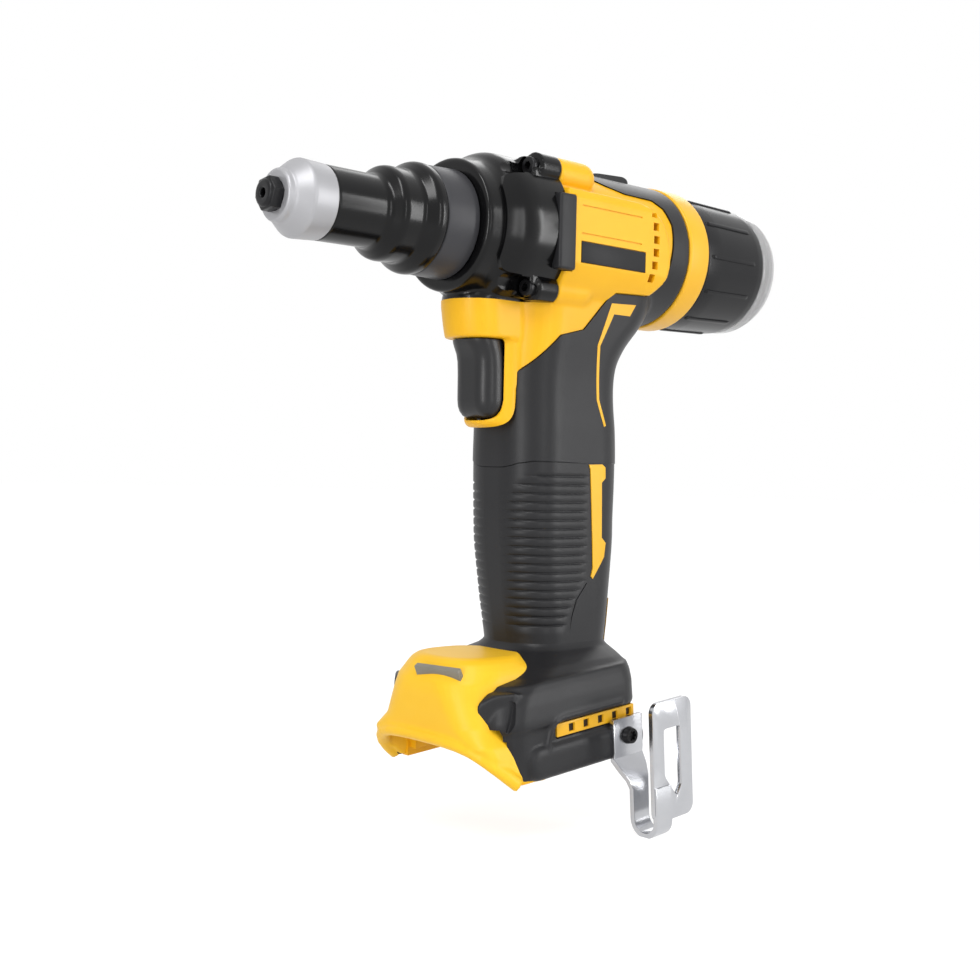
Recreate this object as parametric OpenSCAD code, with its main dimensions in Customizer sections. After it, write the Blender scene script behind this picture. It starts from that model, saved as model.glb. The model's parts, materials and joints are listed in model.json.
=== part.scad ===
// Battery rivet tool: a pistol-shaped blind-rivet puller without its battery pack.
// Origin at the mouth of the nosepiece, on the barrel axis. +X points out of the
// nose, +Y to the tool's left, +Z up. All sizes are millimetres.

/* [Nose] */
// Width across the flats of the nosepiece's hexagon
nosepiece_flats = 11; // [9:0.5:12]
// Length of the nosepiece that stands out of the nose cone
nosepiece_out = 5.5; // [4:0.5:8]
// Radius of the mandrel hole in the nosepiece
mandrel_hole_r = 1.65; // [1:0.05:2.2]
// Length of the nose cone behind the nosepiece's hexagon
cone_len = 17.5; // [14:0.5:22]
// Widest radius of the nose cone
cone_r = 14; // [13:0.5:16]
// Radius of the slim black nose tube
tube_r = 13.4; // [12.8:0.1:14]
// Length of the slim nose tube
tube_len = 24; // [20:1:30]
// Radius of the first shoulder
step1_r = 17.4; // [16:0.2:18.5]
// Length of the first shoulder
step1_len = 13; // [9:1:16]
// Radius of the second shoulder
step2_r = 20.8; // [19.5:0.2:22]
// Length of the second shoulder
step2_len = 7; // [5:1:10]
// Length of the grey lock collar
collar_len = 15; // [11:1:19]

/* [Gear housing] */
// Radius of the collar at the front of the gear housing
gear_collar_r = 25.6; // [24:0.2:27]
// Length of that front collar
gear_collar_len = 8; // [6:0.5:11]
// Radius of the gear housing behind its collar
gear_body_r = 29.6; // [29:0.2:31]
// Length of the whole gear housing
gear_len = 36; // [34:1:40]
// Distance of the four screw bosses from the axis, sideways
boss_y = 21.6; // [20:0.2:23]
// Distance of the four screw bosses from the axis, up or down
boss_z = 23.2; // [21:0.2:24]
// Outer radius of a screw boss
boss_r = 5; // [4.5:0.25:5.5]

/* [Body] */
// Outer radius of the barrel of the clamshell
body_r = 29.5; // [29:0.1:30.5]
// Wall of the clamshell
wall = 2.6; // [2:0.1:3]
// Length of the clamshell's barrel, from the gear housing to the rear ring
body_len = 75; // [73:1:80]
// Half width of the body across its raised side panels
panel_y = 32.2; // [31:0.2:34]
// Thickness of the soft overmould
skin = 1.8; // [1.2:0.1:2.4]
// Length of the rear ring
ring_len = 13; // [10:1:16]
// Radius of the rear ring
ring_r = 30.5; // [30:0.1:32]

/* [Mandrel cup] */
// Length of the black part of the cup
cup_len = 47; // [40:1:60]
// Radius of the cup at its front
cup_r = 29.4; // [28:0.2:30]
// Radius of the cup at its rear
cup_rear_r = 28.4; // [27:0.2:29]
// Length of the clear rim that closes the cup
rim_len = 9; // [6:1:12]
// Wall of the cup
cup_wall = 2.2; // [1.6:0.1:3]

/* [Grip] */
// Length of the grip's section, front to back, at its middle
grip_depth = 57.6; // [54:0.4:62]
// Width of the grip at its middle
grip_width = 41; // [38:0.5:44]
// Height of the origin above the foot's front lower corner
foot_drop = 211; // [205:1:218]
// Tilt of the foot, its rear higher than its front
foot_tilt = 4.6; // [2:0.2:7]
// Width of the foot
foot_w = 75; // [72:1:80]
// Length of the foot's sides
foot_len = 70; // [66:1:75]
// Width of the battery slot between the walls
slot_w = 62; // [58:1:64]

/* [Trigger] */
// Width of the trigger
trigger_w = 20.8; // [18:0.2:22]
// Height of the trigger
trigger_h = 30.8; // [28:0.2:32]
// Travel of the trigger
trigger_travel = 6; // [4:0.5:7]

/* [Drive] */
// Stroke of the pulling head
stroke = 25; // [20:1:26]
// Outer radius of the ball screw
screw_r = 7; // [6.5:0.1:7]
// Outer radius of the pulling head
head_r = 9.5; // [9:0.1:10]
// Gear module of both planetary stages
gear_m = 0.8; // [0.78:0.01:0.82]
// Play left on each tooth flank
tooth_play = 0.06; // [0.04:0.01:0.1]
// Face width of the planets
planet_w = 7.5; // [6:0.5:8]
// Length of the stator's stack
stator_len = 28; // [22:1:30]
// Depth of the windings, from the rotor's face to the outside of the stator
winding = 10.1; // [9.5:0.1:11.5]

/* [Belt hook] */
// Thickness of the hook's steel strip
hook_t = 2; // [1.6:0.2:2.4]
// Width of the hook's outer plate
hook_w = 23; // [20:1:26]
// Height of the hook's outer plate
hook_h = 47; // [40:1:52]
// Clear gap between the foot's side and the outer plate
hook_gap = 18.5; // [15:0.5:22]

/* [Hidden] */
$fn = 64;

// Clearances
seat = 0.1;
run = 0.06;
free = 0.3;

// Stations along the barrel, front to back, as negative X
x_cone = -nosepiece_out;
x_tube = x_cone - cone_len;
x_step1 = x_tube - tube_len;
x_step2 = x_step1 - step1_len;
x_collar = x_step2 - step2_len;
x_gear = x_collar - collar_len;
x_body = x_gear - gear_len;
// Side panel: where its round end is centred, and its lower and upper edges
panel_x = x_body - 40;
panel_low = body_r - 4.5;
panel_high = 16;
x_ring = x_body - body_len;
x_cup = x_ring - ring_len;
x_rim = x_cup - cup_len;
x_end = x_rim - rim_len;

// Bores of the nose
nose_bore_r = head_r + 0.9;
spigot_len = 7;
spigot_wall = 1.9;
nose_thread_r = 4.5;
shell_r = body_r - wall;
gear_bore_r = 26.2;

// Boss bulges on the clamshell
bulge_r = 6;
bulge_len = 20;
front_screw_r = 2;
front_head_r = 3.4;
front_head_len = 4;
front_screw_len = 16;
sleeve_len = 12;
boss_front = x_body + sleeve_len;
chin_top = -27.8;

case_screw_r = 1.6;
case_head_r = 2.9;
case_head_len = 2.2;
band_len = 21;

// Side panel details
bumper_front = 6;
bumper_w = 9;
bumper_h = 29;
bumper_z = -1.5;
bumper_y = panel_y - 4.3;
label_x = -162;
label_len = 37.5;
label_z = -12.3;
label_h = 8.2;
label_t = 0.6;
vent_n = 6;
vent_step = 5.25;
vent_w = 3.2;
vent_arc_r = 45;
vent_arc_x = -125.3;

// Planetary stages
sun_t = 24;
planet_t = 15;
ring_t = sun_t + 2 * planet_t;
pressure = 25;
centre_r = gear_m * (sun_t + planet_t) / 2;
carrier_t = 3;
pin_r = 1.9;
planet_gap = 0.5;
screw_pass_r = screw_r + 0.3;
carrier_r = centre_r + 4.2;
hub_play = 0.8;

// Stations of the drive
x_nut = x_gear - 8.5;
nut_len = 18.5;
nut_r = 15;
x_out = x_nut - nut_len;
x_planet2 = x_out - carrier_t - planet_gap;
x_first = x_planet2 - planet_w - 1;
x_planet1 = x_first - carrier_t - planet_gap;
x_sun1_end = x_planet1 - planet_w - 1;
x_mount = x_sun1_end - 1;
mount_t = 3.6;
x_stator = x_mount - mount_t - 2;
x_fan = x_stator - stator_len - 3;
fan_t = 6.5;
x_holder = x_fan - fan_t - 2.4;
holder_t = 8;
x_screw = x_step1 - 1.5;
x_screw_end = x_nut - nut_len - 3;
screw_len = x_screw - x_screw_end;
tube_in = 3;
x_guide = x_screw_end + tube_in;
guide_r = 4;
guide_bore_r = 3.1;
screw_bore_r = 3.1;
screw_back_r = guide_r + 0.25;
shaft_r = 6;
bearing_r = 11;
bearing_w = 6;
stator_play = 1.3;
stator_r = shell_r - stator_play;
rotor_r = stator_r - winding;
stator_ring = 4;
coil_shoe = 2;
coil_back = 1.4;
tooth_w = 7;
air_gap = 0.5;
fan_play = 4.9;
fan_r = shell_r - fan_play;
fan_disc = 1.4;
journal_r = 8.4;
ball_r = 1.2;
race_t = 1.5;
socket_r = 25;

// Pulling head
x_head = x_cone - 10;
x_jaws = x_head - 2;
jaw_len = 13;
jaw_front_r = 4.2;
jaw_rear_r = 7;
pusher_len = 7;
spring_wire = 1.1;
jaw_spring_r = 5.4;
x_pusher = x_jaws - jaw_len;
x_jaw_spring = x_pusher - pusher_len;
head_bore_r = 7.4;
key_t = 4;
key_w = 4;
key_reach = 12.6;
x_key = x_screw - 5.5;

// Grip sections: height, centre, half depth, half width, corner radius
grip_top = [1.5 - body_r, -145.5, grip_depth / 2 + 8.7, grip_width / 2 + 3.5, 18];
grip_neck = [-50, -138, grip_depth / 2 + 0.2, grip_width / 2 + 1, 16];
grip_mid = [-78, -139, grip_depth / 2 + 0.2, grip_width / 2, 16];
grip_low = [-121, -139.5, grip_depth / 2, grip_width / 2, 16];
grip_end = [-164, -141.3, grip_depth / 2 - 4.8, grip_width / 2 - 1.5, 16];
core_x = -140.5;
core_wall = 2.2;
ledge = 0.3;

// Chin and trigger
chin_r = 14;
chin_x = -99.6;
chin_low = -42.3;
chin_back = 40;
chin_root = -12;
guard_low = -77;
guard_floor = -73.9;
guard_x = -104;
guard_fillet = 6;
guard_front = -98.8;
trigger_top = chin_low - 0.4;
finger_r = 60;
finger_dip = 2.8;
trigger_x = -92.3;
trigger_lean = 5.5;
trigger_back = 18.5;
stem_r = 3;
stem_z = -58.5;
switch_x = -121;
stem_len = 13;
spring_front = -113;

// Foot, in a frame of its own at the front lower corner, on the tilted base
foot_x = -94.4;
foot_side_h = 25;
foot_shoulder_h = 34;
foot_half = foot_w / 2;
slot_h = 18;
slot_back = -58;
rail_in = 3.4;
rail_h = 4;
rail_z = 3.2;
hood_front = 17;
hood_lip = 13.6;
hood_top = 46;
hood_brow = 37;
plate_w = 21;
plate_h = 5;
plate_t = 2.4;
hook_x = -56.8;
hook_z = 9;
hook_hole_r = 1.65;
hook_hole_end = slot_w / 2 + 0.6;
neck_x = -44;
neck_h = 16;
board_w = 50;
board_x = -57;
board_z = slot_h + 3.2;
board_bay_h = 7;
blade_gap = 9;
blade_t = 0.8;
blade_len = 20;
block_z = 6;
hook_screw_r = 1.6;
hook_head_r = 3.4;
strip_z = 15;
strip_h = 5;
strip_x = -20;
strip_len = 44;
slit_n = 5;
slit_w = 3;
slit_step = 8.2;

// Turns a shape drawn along +Z so that it runs along -X from x
module along(x) {
  translate([x, 0, 0])
    rotate([0, -90, 0])
      children();
}

// A tube along the barrel from x, running back by len
module pipe(x, len, outer, inner) {
  along(x)
    difference() {
      cylinder(r = outer, h = len);
      translate([0, 0, -1])
        cylinder(r = inner, h = len + 2);
    }
}

module rod(x, len, r) {
  along(x)
    cylinder(r = r, h = len);
}

// A body of revolution about the barrel from a list of [x, r]
module turned(points) {
  rotate([0, 90, 0])
    rotate_extrude()
      polygon([for (p = points) [p[1], p[0]]]);
}

// Rounded rectangle about the origin
module rounded(x, y, r) {
  translate([-x / 2 + r, -y / 2])
    square([x - 2 * r, y]);
  translate([-x / 2, -y / 2 + r])
    square([x, y - 2 * r]);
  for (sx = [-1, 1], sy = [-1, 1])
    translate([sx * (x / 2 - r), sy * (y / 2 - r)])
      circle(r);
}

// A side-view outline [x, z] extruded across from y0 to y1
module across(y0, y1) {
  translate([0, y1, 0])
    rotate([90, 0, 0])
      linear_extrude(y1 - y0)
        children();
}

module bosses(y = boss_y, z = boss_z) {
  for (sy = [-1, 1], sz = [-1, 1])
    translate([0, sy * y, sz * z])
      children();
}

// The foot's tilted frame
module at_foot() {
  translate([foot_x, 0, -foot_drop])
    rotate([0, foot_tilt, 0])
      children();
}

module half_space(side) {
  translate([-400, side > 0 ? 0 : -200, -300])
    cube([500, 200, 400]);
}

module slab(s, trim = 0) {
  translate([s[1], 0, s[0]])
    linear_extrude(0.2)
      rounded(2 * (s[2] - trim), 2 * (s[3] - trim), s[4] - trim, $fn = 32);
}

// Gear outline with involute flanks; play is taken off each flank
function inv_deg(base, r) = let (a = acos(min(1, base / r))) tan(a) * 180 / PI - a;
function flank(t, r, play) =
  let (pitch = gear_m * t / 2, base = pitch * cos(pressure))
  90 / t - play / pitch * 180 / PI + inv_deg(base, pitch) - inv_deg(base, max(r, base));
function polar(r, a) = [r * cos(a), r * sin(a)];
function gear_points(t, low, high, play) =
  let (pitch = gear_m * t / 2, base = pitch * cos(pressure), foot = max(low, base + 0.02))
  [for (k = [0 : t - 1])
    let (c = 360 * k / t)
    each [
      polar(low, c - flank(t, foot, play) - 0.2),
      polar(foot, c - flank(t, foot, play)),
      polar(pitch, c - flank(t, pitch, play)),
      polar(high, c - flank(t, high, play)),
      polar(high, c + flank(t, high, play)),
      polar(pitch, c + flank(t, pitch, play)),
      polar(foot, c + flank(t, foot, play)),
      polar(low, c + flank(t, foot, play) + 0.2)]];

module gear(t) {
  pitch = gear_m * t / 2;
  polygon(gear_points(t, pitch - 1.25 * gear_m, pitch + gear_m, tooth_play));
}

// A spring's wire along +Z, swept round its helix
function coil_point(r, pitch, a) = [r * cos(a), r * sin(a), pitch * a / 360];
function wire_ring(r, pitch, a, wire, sides) =
  [for (k = [0 : sides - 1])
    let (b = 360 * k / sides)
    coil_point(r, pitch, a) + wire * [cos(b) * cos(a), cos(b) * sin(a), sin(b)]];

module coil(r, len, turns, wire) {
  sides = 6;
  steps = 14 * turns;
  pitch = (len - 2 * wire) / turns;
  points = [for (i = [0 : steps]) each wire_ring(r, pitch, 360 * i * turns / steps, wire, sides)];
  walls = [for (i = [0 : steps - 1], k = [0 : sides - 1])
    let (a = i * sides + k, b = i * sides + (k + 1) % sides)
    each [[a, b, a + sides], [b, b + sides, a + sides]]];
  first = [for (k = [1 : sides - 2]) [0, k + 1, k]];
  last = [for (k = [1 : sides - 2]) [steps * sides, steps * sides + k, steps * sides + k + 1]];
  translate([0, 0, wire])
    polyhedron(points, concat(walls, first, last));
}

// The two slots that keep the screw from turning
module key_slots(back, front) {
  for (side = [0, 180])
    rotate([side, 0, 0])
      translate([back, -key_w / 2 - free, 0])
        cube([front - back, key_w + 2 * free, key_reach + free]);
}

module nosepiece() {
  color("#1c1c1e")
    difference() {
      union() {
        rotate([0, -90, 0])
          translate([0, 0, 0.8])
            cylinder(d = nosepiece_flats / cos(30), h = nosepiece_out - 0.8, $fn = 6);
        turned([[0, 0], [0, 4.4], [-0.8, 5], [-0.8, 0]]);
        rod(x_cone, spigot_len + 1.5, nose_thread_r);
        rod(x_cone, x_cone - x_jaws - free, jaw_front_r - 0.6);
      }
      rod(1, -x_head + 2, mandrel_hole_r);
    }
}

module nose_cone() {
  lip = nosepiece_flats / 2 + 1.6;
  color("#b9b9bb")
    difference() {
      union() {
        turned([[x_cone, 0], [x_cone, lip], [x_cone - 1.4, lip + 0.5], [x_cone - 2, lip + 2],
                [x_cone - 6, cone_r - 0.8], [x_cone - 7.6, cone_r],
                [x_tube, cone_r - 0.5], [x_tube, 0]]);
        rod(x_tube, spigot_len, nose_bore_r + spigot_wall);
      }
      rod(x_cone + 1, spigot_len + 3, nose_thread_r + seat);
      rod(x_head + 1.5, -x_tube, nose_bore_r);
    }
}

module nose_housing() {
  r = 4;
  rise1 = step1_r - tube_r;
  rise2 = step2_r - step1_r;
  color("#141416")
    difference() {
      turned(concat(
        [[x_tube, 0], [x_tube, tube_r]],
        [for (a = [90 : -15 : 0]) [x_step1 - r * (1 - sin(a)) + r / 2, step1_r - rise1 * sin(a)]],
        [for (a = [90 : -15 : 0]) [x_step2 - r * (1 - sin(a)) + r / 2, step2_r - rise2 * sin(a)]],
        [[x_collar, step2_r - 0.3], [x_collar, 0]]));
      rod(x_tube + 1, spigot_len + 1.5, nose_bore_r + spigot_wall + seat);
      rod(x_tube + 1, 60, nose_bore_r);
      rod(x_step1, x_step1 - x_collar + 1, key_reach - 1.6);
      key_slots(x_collar - 1, x_key + 2);
    }
}

module lock_collar() {
  color("#4b4b4e")
    difference() {
      turned([[x_collar, 0], [x_collar, step2_r - 0.5], [x_gear, step2_r], [x_gear, 0]]);
      rod(x_collar + 1, collar_len + 2, key_reach - 1.6);
      key_slots(x_gear - 1, x_collar + 1);
    }
}

module gear_housing() {
  wall_x = x_key - key_t - stroke - 1.5;
  rib_w = 5;
  color("#1b1b1d")
    difference() {
      union() {
        turned([[x_gear, 0], [x_gear, gear_collar_r - 1.2], [x_gear - 1.2, gear_collar_r],
                [x_gear - gear_collar_len, gear_collar_r - 0.4],
                [x_gear - gear_collar_len - 4, gear_body_r - 1.2],
                [x_gear - gear_collar_len - 7, gear_body_r], [x_body, gear_body_r], [x_body, 0]]);
        bosses()
          rod(boss_front, sleeve_len, boss_r);
        translate([x_body, -bumper_y, bumper_z - bumper_h / 2 - 1])
          cube([bumper_front, 2 * bumper_y, bumper_h + 2]);
        for (sy = [-1, 1], a = [atan2(boss_z, boss_y), -atan2(boss_z, boss_y)])
          mirror([0, sy > 0 ? 0 : 1, 0])
            rotate([a, 0, 0])
              translate([0, 0, -rib_w / 2])
                linear_extrude(rib_w)
                  polygon([[x_gear - gear_collar_len, 0], [x_gear - gear_collar_len, gear_collar_r],
                           [boss_front, norm([boss_y, boss_z]) + 2.5],
                           [x_body, norm([boss_y, boss_z]) + 2.5], [x_body, 0]]);
      }
      rod(x_gear + 1, x_gear - wall_x + 1, key_reach + 1);
      rod(x_gear, gear_len, screw_pass_r);
      rod(x_nut + 4, gear_len, nut_r + run);
      rod(x_out + 0.5, gear_len, carrier_r + hub_play);
      rod(x_planet2 + 1, gear_len, gear_bore_r);
      translate([x_body - 1, -60, -60])
        cube([gear_len + 2, 120, 60 + chin_top]);
      bosses()
        union() {
          rod(boss_front + 1, sleeve_len + 2, front_screw_r + seat);
          rod(boss_front + 1, front_head_len + 1, front_head_r + 0.4);
        }
      bumper_recess();
    }
}

module housing_screws() {
  color("#232325")
    bosses()
      difference() {
        union() {
          rod(boss_front, front_head_len, front_head_r);
          rod(boss_front - front_head_len, front_screw_len, front_screw_r);
        }
        rod(boss_front + 1, 3, 1.6);
      }
}

module bumper_recess() {
  for (side = [0, 1])
    mirror([0, side, 0])
      translate([x_body + bumper_front - bumper_w - seat, bumper_y, bumper_z - bumper_h / 2 - seat])
        cube([bumper_w + 2 * seat, 10, bumper_h + 2 * seat]);
}

module bumper(side) {
  color("#2e2e31")
    mirror([0, side > 0 ? 0 : 1, 0])
      translate([x_body + bumper_front - bumper_w / 2, bumper_y, bumper_z])
        rotate([-90, 0, 0])
          linear_extrude(panel_y + 0.9 - bumper_y)
            rounded(bumper_w, bumper_h, 2);
}

module bumper_left() {
  bumper(1);
}

module bumper_right() {
  bumper(-1);
}

// Everything below and behind this side-view line is soft overmould
module dark_zone() {
  across(-60, 60)
    polygon([[guard_x - 3, guard_low], [guard_x - 3, -59], [-124, -40], [-136, -37], [-150, -21.5],
             [-172, -20], [-179, -10], [-180.5, 0], [-178, 10], [x_body - 53, 20],
             [x_body - 53, 40], [x_ring, 40], [x_ring, -60], [-190, -60], [-190, -260],
             [-60, -260], [-60, guard_low]]);
}

module grip_form(trim = 0) {
  hull() {
    slab(grip_top, trim);
    slab(grip_neck, trim);
  }
  hull() {
    translate([0, 0, 1.5])
      slab(grip_neck, trim + ledge);
    slab(grip_mid, trim);
    slab(grip_low, trim);
    slab(grip_end, trim);
  }
}

module foot_plan(trim = 0, r = 12) {
  front = 8;
  translate([(front - foot_len) / 2, 0])
    rounded(foot_len + front - 2 * trim, foot_w - 2 * trim, r - trim);
}

module foot_shoulder(trim = 0) {
  hull() {
    at_foot()
      translate([0, 0, foot_side_h - 1])
        linear_extrude(0.2)
          foot_plan(trim + ledge, $fn = 32);
    at_foot()
      translate([(1 - foot_len) / 2, 0, foot_shoulder_h - trim])
        linear_extrude(0.2)
          rounded(foot_len - 6 - 2 * trim, foot_w - 11 - 2 * trim, 14, $fn = 32);
  }
  hull() {
    at_foot()
      translate([(1 - foot_len) / 2, 0, foot_shoulder_h - trim - 1.5])
        linear_extrude(0.2)
          rounded(foot_len - 6 - 2 * (trim + ledge), foot_w - 11 - 2 * (trim + ledge), 14, $fn = 32);
    translate([0, 0, 1.5])
      slab(grip_end, trim + ledge);
  }
}

module panel() {
  intersection() {
    across(-panel_y, panel_y)
      union() {
        translate([panel_x, (panel_high - panel_low) / 2])
          circle((panel_high + panel_low) / 2);
        translate([panel_x, -panel_low])
          square([x_body - panel_x, panel_high + panel_low]);
      }
    rod(x_body, 80, panel_y + 2.3);
  }
}

module chin() {
  past = chin_x + 2 * chin_r;
  difference() {
    translate([0, 0, guard_low])
      linear_extrude(chin_root - guard_low)
        union() {
          translate([chin_x, 0])
            circle(chin_r);
          translate([chin_x - chin_back, -chin_r])
            square([chin_back, 2 * chin_r]);
        }
    across(-chin_r - 1, chin_r + 1)
      polygon([[past, chin_low], [guard_x, chin_low], [guard_x, guard_floor + guard_fillet],
               [guard_x + guard_fillet - 1, guard_floor], [guard_front, guard_floor],
               [guard_front, guard_low - 1], [past, guard_low - 1]]);
  }
}

// The rigid part of the foot under its overmould
module foot_core() {
  at_foot() {
    linear_extrude(foot_side_h)
      foot_plan(skin);
    translate([(1 - foot_len) / 2, 0, foot_side_h - 1])
      linear_extrude(foot_shoulder_h - foot_side_h - 2)
        rounded(foot_len - 12, foot_w - 17, 12);
    translate([neck_x, 0, foot_shoulder_h - 4])
      linear_extrude(neck_h)
        rounded(2 * grip_end[2] - 5, 2 * grip_end[3] - 5, 12);
  }
}

module housing_outer() {
  pipe(x_body, body_len - band_len, body_r, shell_r);
  pipe(x_ring + band_len + 0.1, band_len + 0.1, body_r - skin, shell_r);
  difference() {
    union() {
      panel();
      bosses(boss_y - 1.2, boss_z - 1.2)
        union() {
          rod(x_body, bulge_len - 5, bulge_r);
          translate([x_body - bulge_len + 5, 0, 0])
            sphere(bulge_r);
        }
      chin();
      difference() {
        grip_form();
        dark_zone();
      }
      grip_form(skin);
    }
    rod(x_body + 60, 160, shell_r);
    translate([x_body, -60, chin_top])
      cube([60, 120, 120]);
  }
}

// Clamshell screws: [x, z, depth of the head's face from the middle, boss length]
case_points = [
  [guard_x - 2, (chin_top + chin_low) / 2, chin_r - 1.8, 0],
  [-160, -37.5, grip_width / 2 - 2.6, grip_width / 2 - 1.4],
  [core_x - 3, guard_low - 8, grip_width / 2 - 2.4, grip_width / 2 - 2.5],
  [core_x - 3, grip_end[0] + 14, grip_end[3] - 2.4, grip_end[3] - 2.2],
  [foot_x - 60.4, -186.4, foot_half - 5, 0]];

module case_bores() {
  for (p = case_points)
    translate([p[0], 0, p[1]])
      rotate([90, 0, 0])
        union() {
          translate([0, 0, -9])
            cylinder(r = case_screw_r + seat, h = 60);
          translate([0, 0, p[2] - case_head_len - 0.1])
            cylinder(r = case_head_r + 0.3, h = 30);
        }
}

module case_bosses() {
  for (p = case_points)
    if (p[3] > 0)
      translate([p[0], 0, p[1]])
        rotate([90, 0, 0])
          cylinder(r = case_screw_r + 2.4, h = 2 * p[3], center = true);
}

module trigger_pocket() {
  translate([x_body - 3, -trigger_w / 2 - 0.4, guard_floor + 0.05])
    cube([50, trigger_w + 0.8, chin_low - guard_floor - 0.1]);
}

// Recesses and holes that both halves have alike
module side_details() {
  for (side = [0, 1])
    mirror([0, side, 0]) {
      translate([label_x, panel_y - label_t, label_z])
        cube([label_len, 5, label_h]);
      for (i = [0 : vent_n - 1])
        let (z = 12.3 - i * vent_step)
        translate([vent_arc_x - sqrt(vent_arc_r * vent_arc_r - z * z), 20, z - vent_w / 2])
          cube([vent_w, 20, vent_w]);
      at_foot()
        translate([hook_x, foot_half + 1, hook_z])
          rotate([90, 0, 0])
            cylinder(r = hook_hole_r, h = foot_half + 1 - hook_hole_end);
    }
}

module foot_hollows() {
  at_foot() {
    translate([slot_back, -slot_w / 2, -1])
      cube([100, slot_w, slot_h + 1]);
    translate([board_x - 1, -board_w / 2 - 1, board_z - 0.8])
      cube([54, board_w + 2, board_bay_h]);
    translate([neck_x - 10, -11, board_z + 3])
      cube([16, 22, 30]);
  }
}

module foot_rails() {
  at_foot()
    for (side = [0, 1])
      mirror([0, side, 0])
        translate([slot_back - 0.5, slot_w / 2 - rail_in, rail_z])
          cube([-slot_back + 4, rail_in + 0.5, rail_h]);
}

module housing_half(side) {
  color("#f9c220")
    intersection() {
      half_space(side);
      difference() {
        union() {
          difference() {
            union() {
              housing_outer();
              foot_core();
            }
            grip_form(skin + core_wall);
            rod(x_body + 1, 90, shell_r);
            trigger_pocket();
            foot_hollows();
          }
          foot_rails();
          difference() {
            case_bosses();
            rod(x_body + 1, 90, shell_r);
          }
        }
        bosses()
          rod(x_body + 1, front_screw_len, front_screw_r + seat);
        case_bores();
        side_details();
        bumper_recess();
      }
    }
}

module housing_left() {
  housing_half(1);
}

module housing_right() {
  housing_half(-1);
}

module case_screws() {
  color("#2a2a2c")
    for (p = case_points)
      translate([p[0], 0, p[1]])
        rotate([90, 0, 0])
          difference() {
            union() {
              translate([0, 0, -8])
                cylinder(r = case_screw_r, h = p[2] + 8 - case_head_len);
              translate([0, 0, p[2] - case_head_len])
                cylinder(r = case_head_r, h = case_head_len);
            }
            translate([0, 0, p[2] - 1.4])
              cylinder(r = 1.3, h = 2);
          }
}

module grip_half(side) {
  color("#3b3b3e")
    intersection() {
      half_space(side);
      difference() {
        union() {
          intersection() {
            union() {
              grip_form();
              pipe(x_ring + band_len, band_len, body_r + 0.6, body_r - skin);
            }
            dark_zone();
          }
          foot_shoulder();
          at_foot()
            translate([0, 0, 1.4])
              linear_extrude(foot_side_h - 1.2)
                foot_plan();
        }
        trigger_pocket();
        panel();
        chin();
        grip_form(skin);
        foot_core();
        rod(x_ring + band_len + 0.1, 60, body_r - skin);
        rod(x_body, 90, shell_r + 1);
        foot_hollows();
        at_foot()
          translate([2, -foot_half + skin, -1])
            cube([20, foot_w - 2 * skin, slot_h + 6]);
        if (side < 0)
          case_bores();
        for (m = [0, 1])
          mirror([0, m, 0])
            at_foot() {
              translate([strip_x - strip_len - seat, foot_half - skin - 0.5, strip_z - seat])
                cube([strip_len + 2 * seat, 5, strip_h + 2 * seat]);
              translate([hook_x, foot_half + 1, hook_z])
                rotate([90, 0, 0])
                  cylinder(r = hook_head_r + 0.2, h = 5);
            }
      }
    }
}

module grip_left() {
  grip_half(1);
}

module grip_right() {
  grip_half(-1);
}

module top_pad() {
  pad_len = 12;
  pad_w = 21;
  color("#2b2b2e")
    intersection() {
      pipe(x_ring + band_len + pad_len, pad_len, body_r + 2.2, body_r);
      translate([x_ring, -pad_w / 2, 0])
        cube([60, pad_w, 60]);
    }
}

module rear_ring() {
  color("#fdc12a")
    difference() {
      turned([[x_ring, 0], [x_ring, ring_r], [x_cup + 0.8, ring_r - 0.2], [x_cup, ring_r - 0.9], [x_cup, 0]]);
      rod(x_ring, ring_len + 1, socket_r);
    }
}

module cup_body(front, back, r0, r1) {
  turned([[front, 0], [front, r0], [back, r1], [back, 0]]);
}

module mandrel_cup() {
  rib_n = 12;
  rib_w = 7.2;
  color("#19191b")
    difference() {
      union() {
        cup_body(x_cup - free, x_rim, cup_r - 0.6, cup_rear_r - 0.6);
        pipe(x_cup + 6, 8.5, socket_r - run, socket_r - 2.6);
        for (i = [0 : rib_n - 1])
          rotate([360 * i / rib_n, 0, 0])
            translate([x_rim + 4, -rib_w / 2, 0])
              intersection() {
                cube([cup_len - 11, rib_w, cup_r + 2]);
                translate([-x_rim - 4, rib_w / 2, 0])
                  cup_body(x_cup, x_rim, cup_r, cup_rear_r);
              }
      }
      rod(x_cup - 2.4, cup_len + 10, cup_rear_r - 0.6 - cup_wall);
      rod(x_cup + 7, 20, socket_r - 2.6);
    }
}

module cup_rim() {
  r = cup_rear_r - 0.9;
  color("#cfd3d6")
    difference() {
      union() {
        turned([[x_rim, 0], [x_rim, r], [x_rim - rim_len + 5, r - 0.6], [x_rim - rim_len + 1.5, r - 3],
                [x_end, r - 6], [x_end, 0]]);
        rod(x_rim + 5, 6, cup_rear_r - 0.6 - cup_wall - seat);
      }
      rod(x_rim + 6, rim_len + 3.5, r - 5);
    }
}

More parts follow.
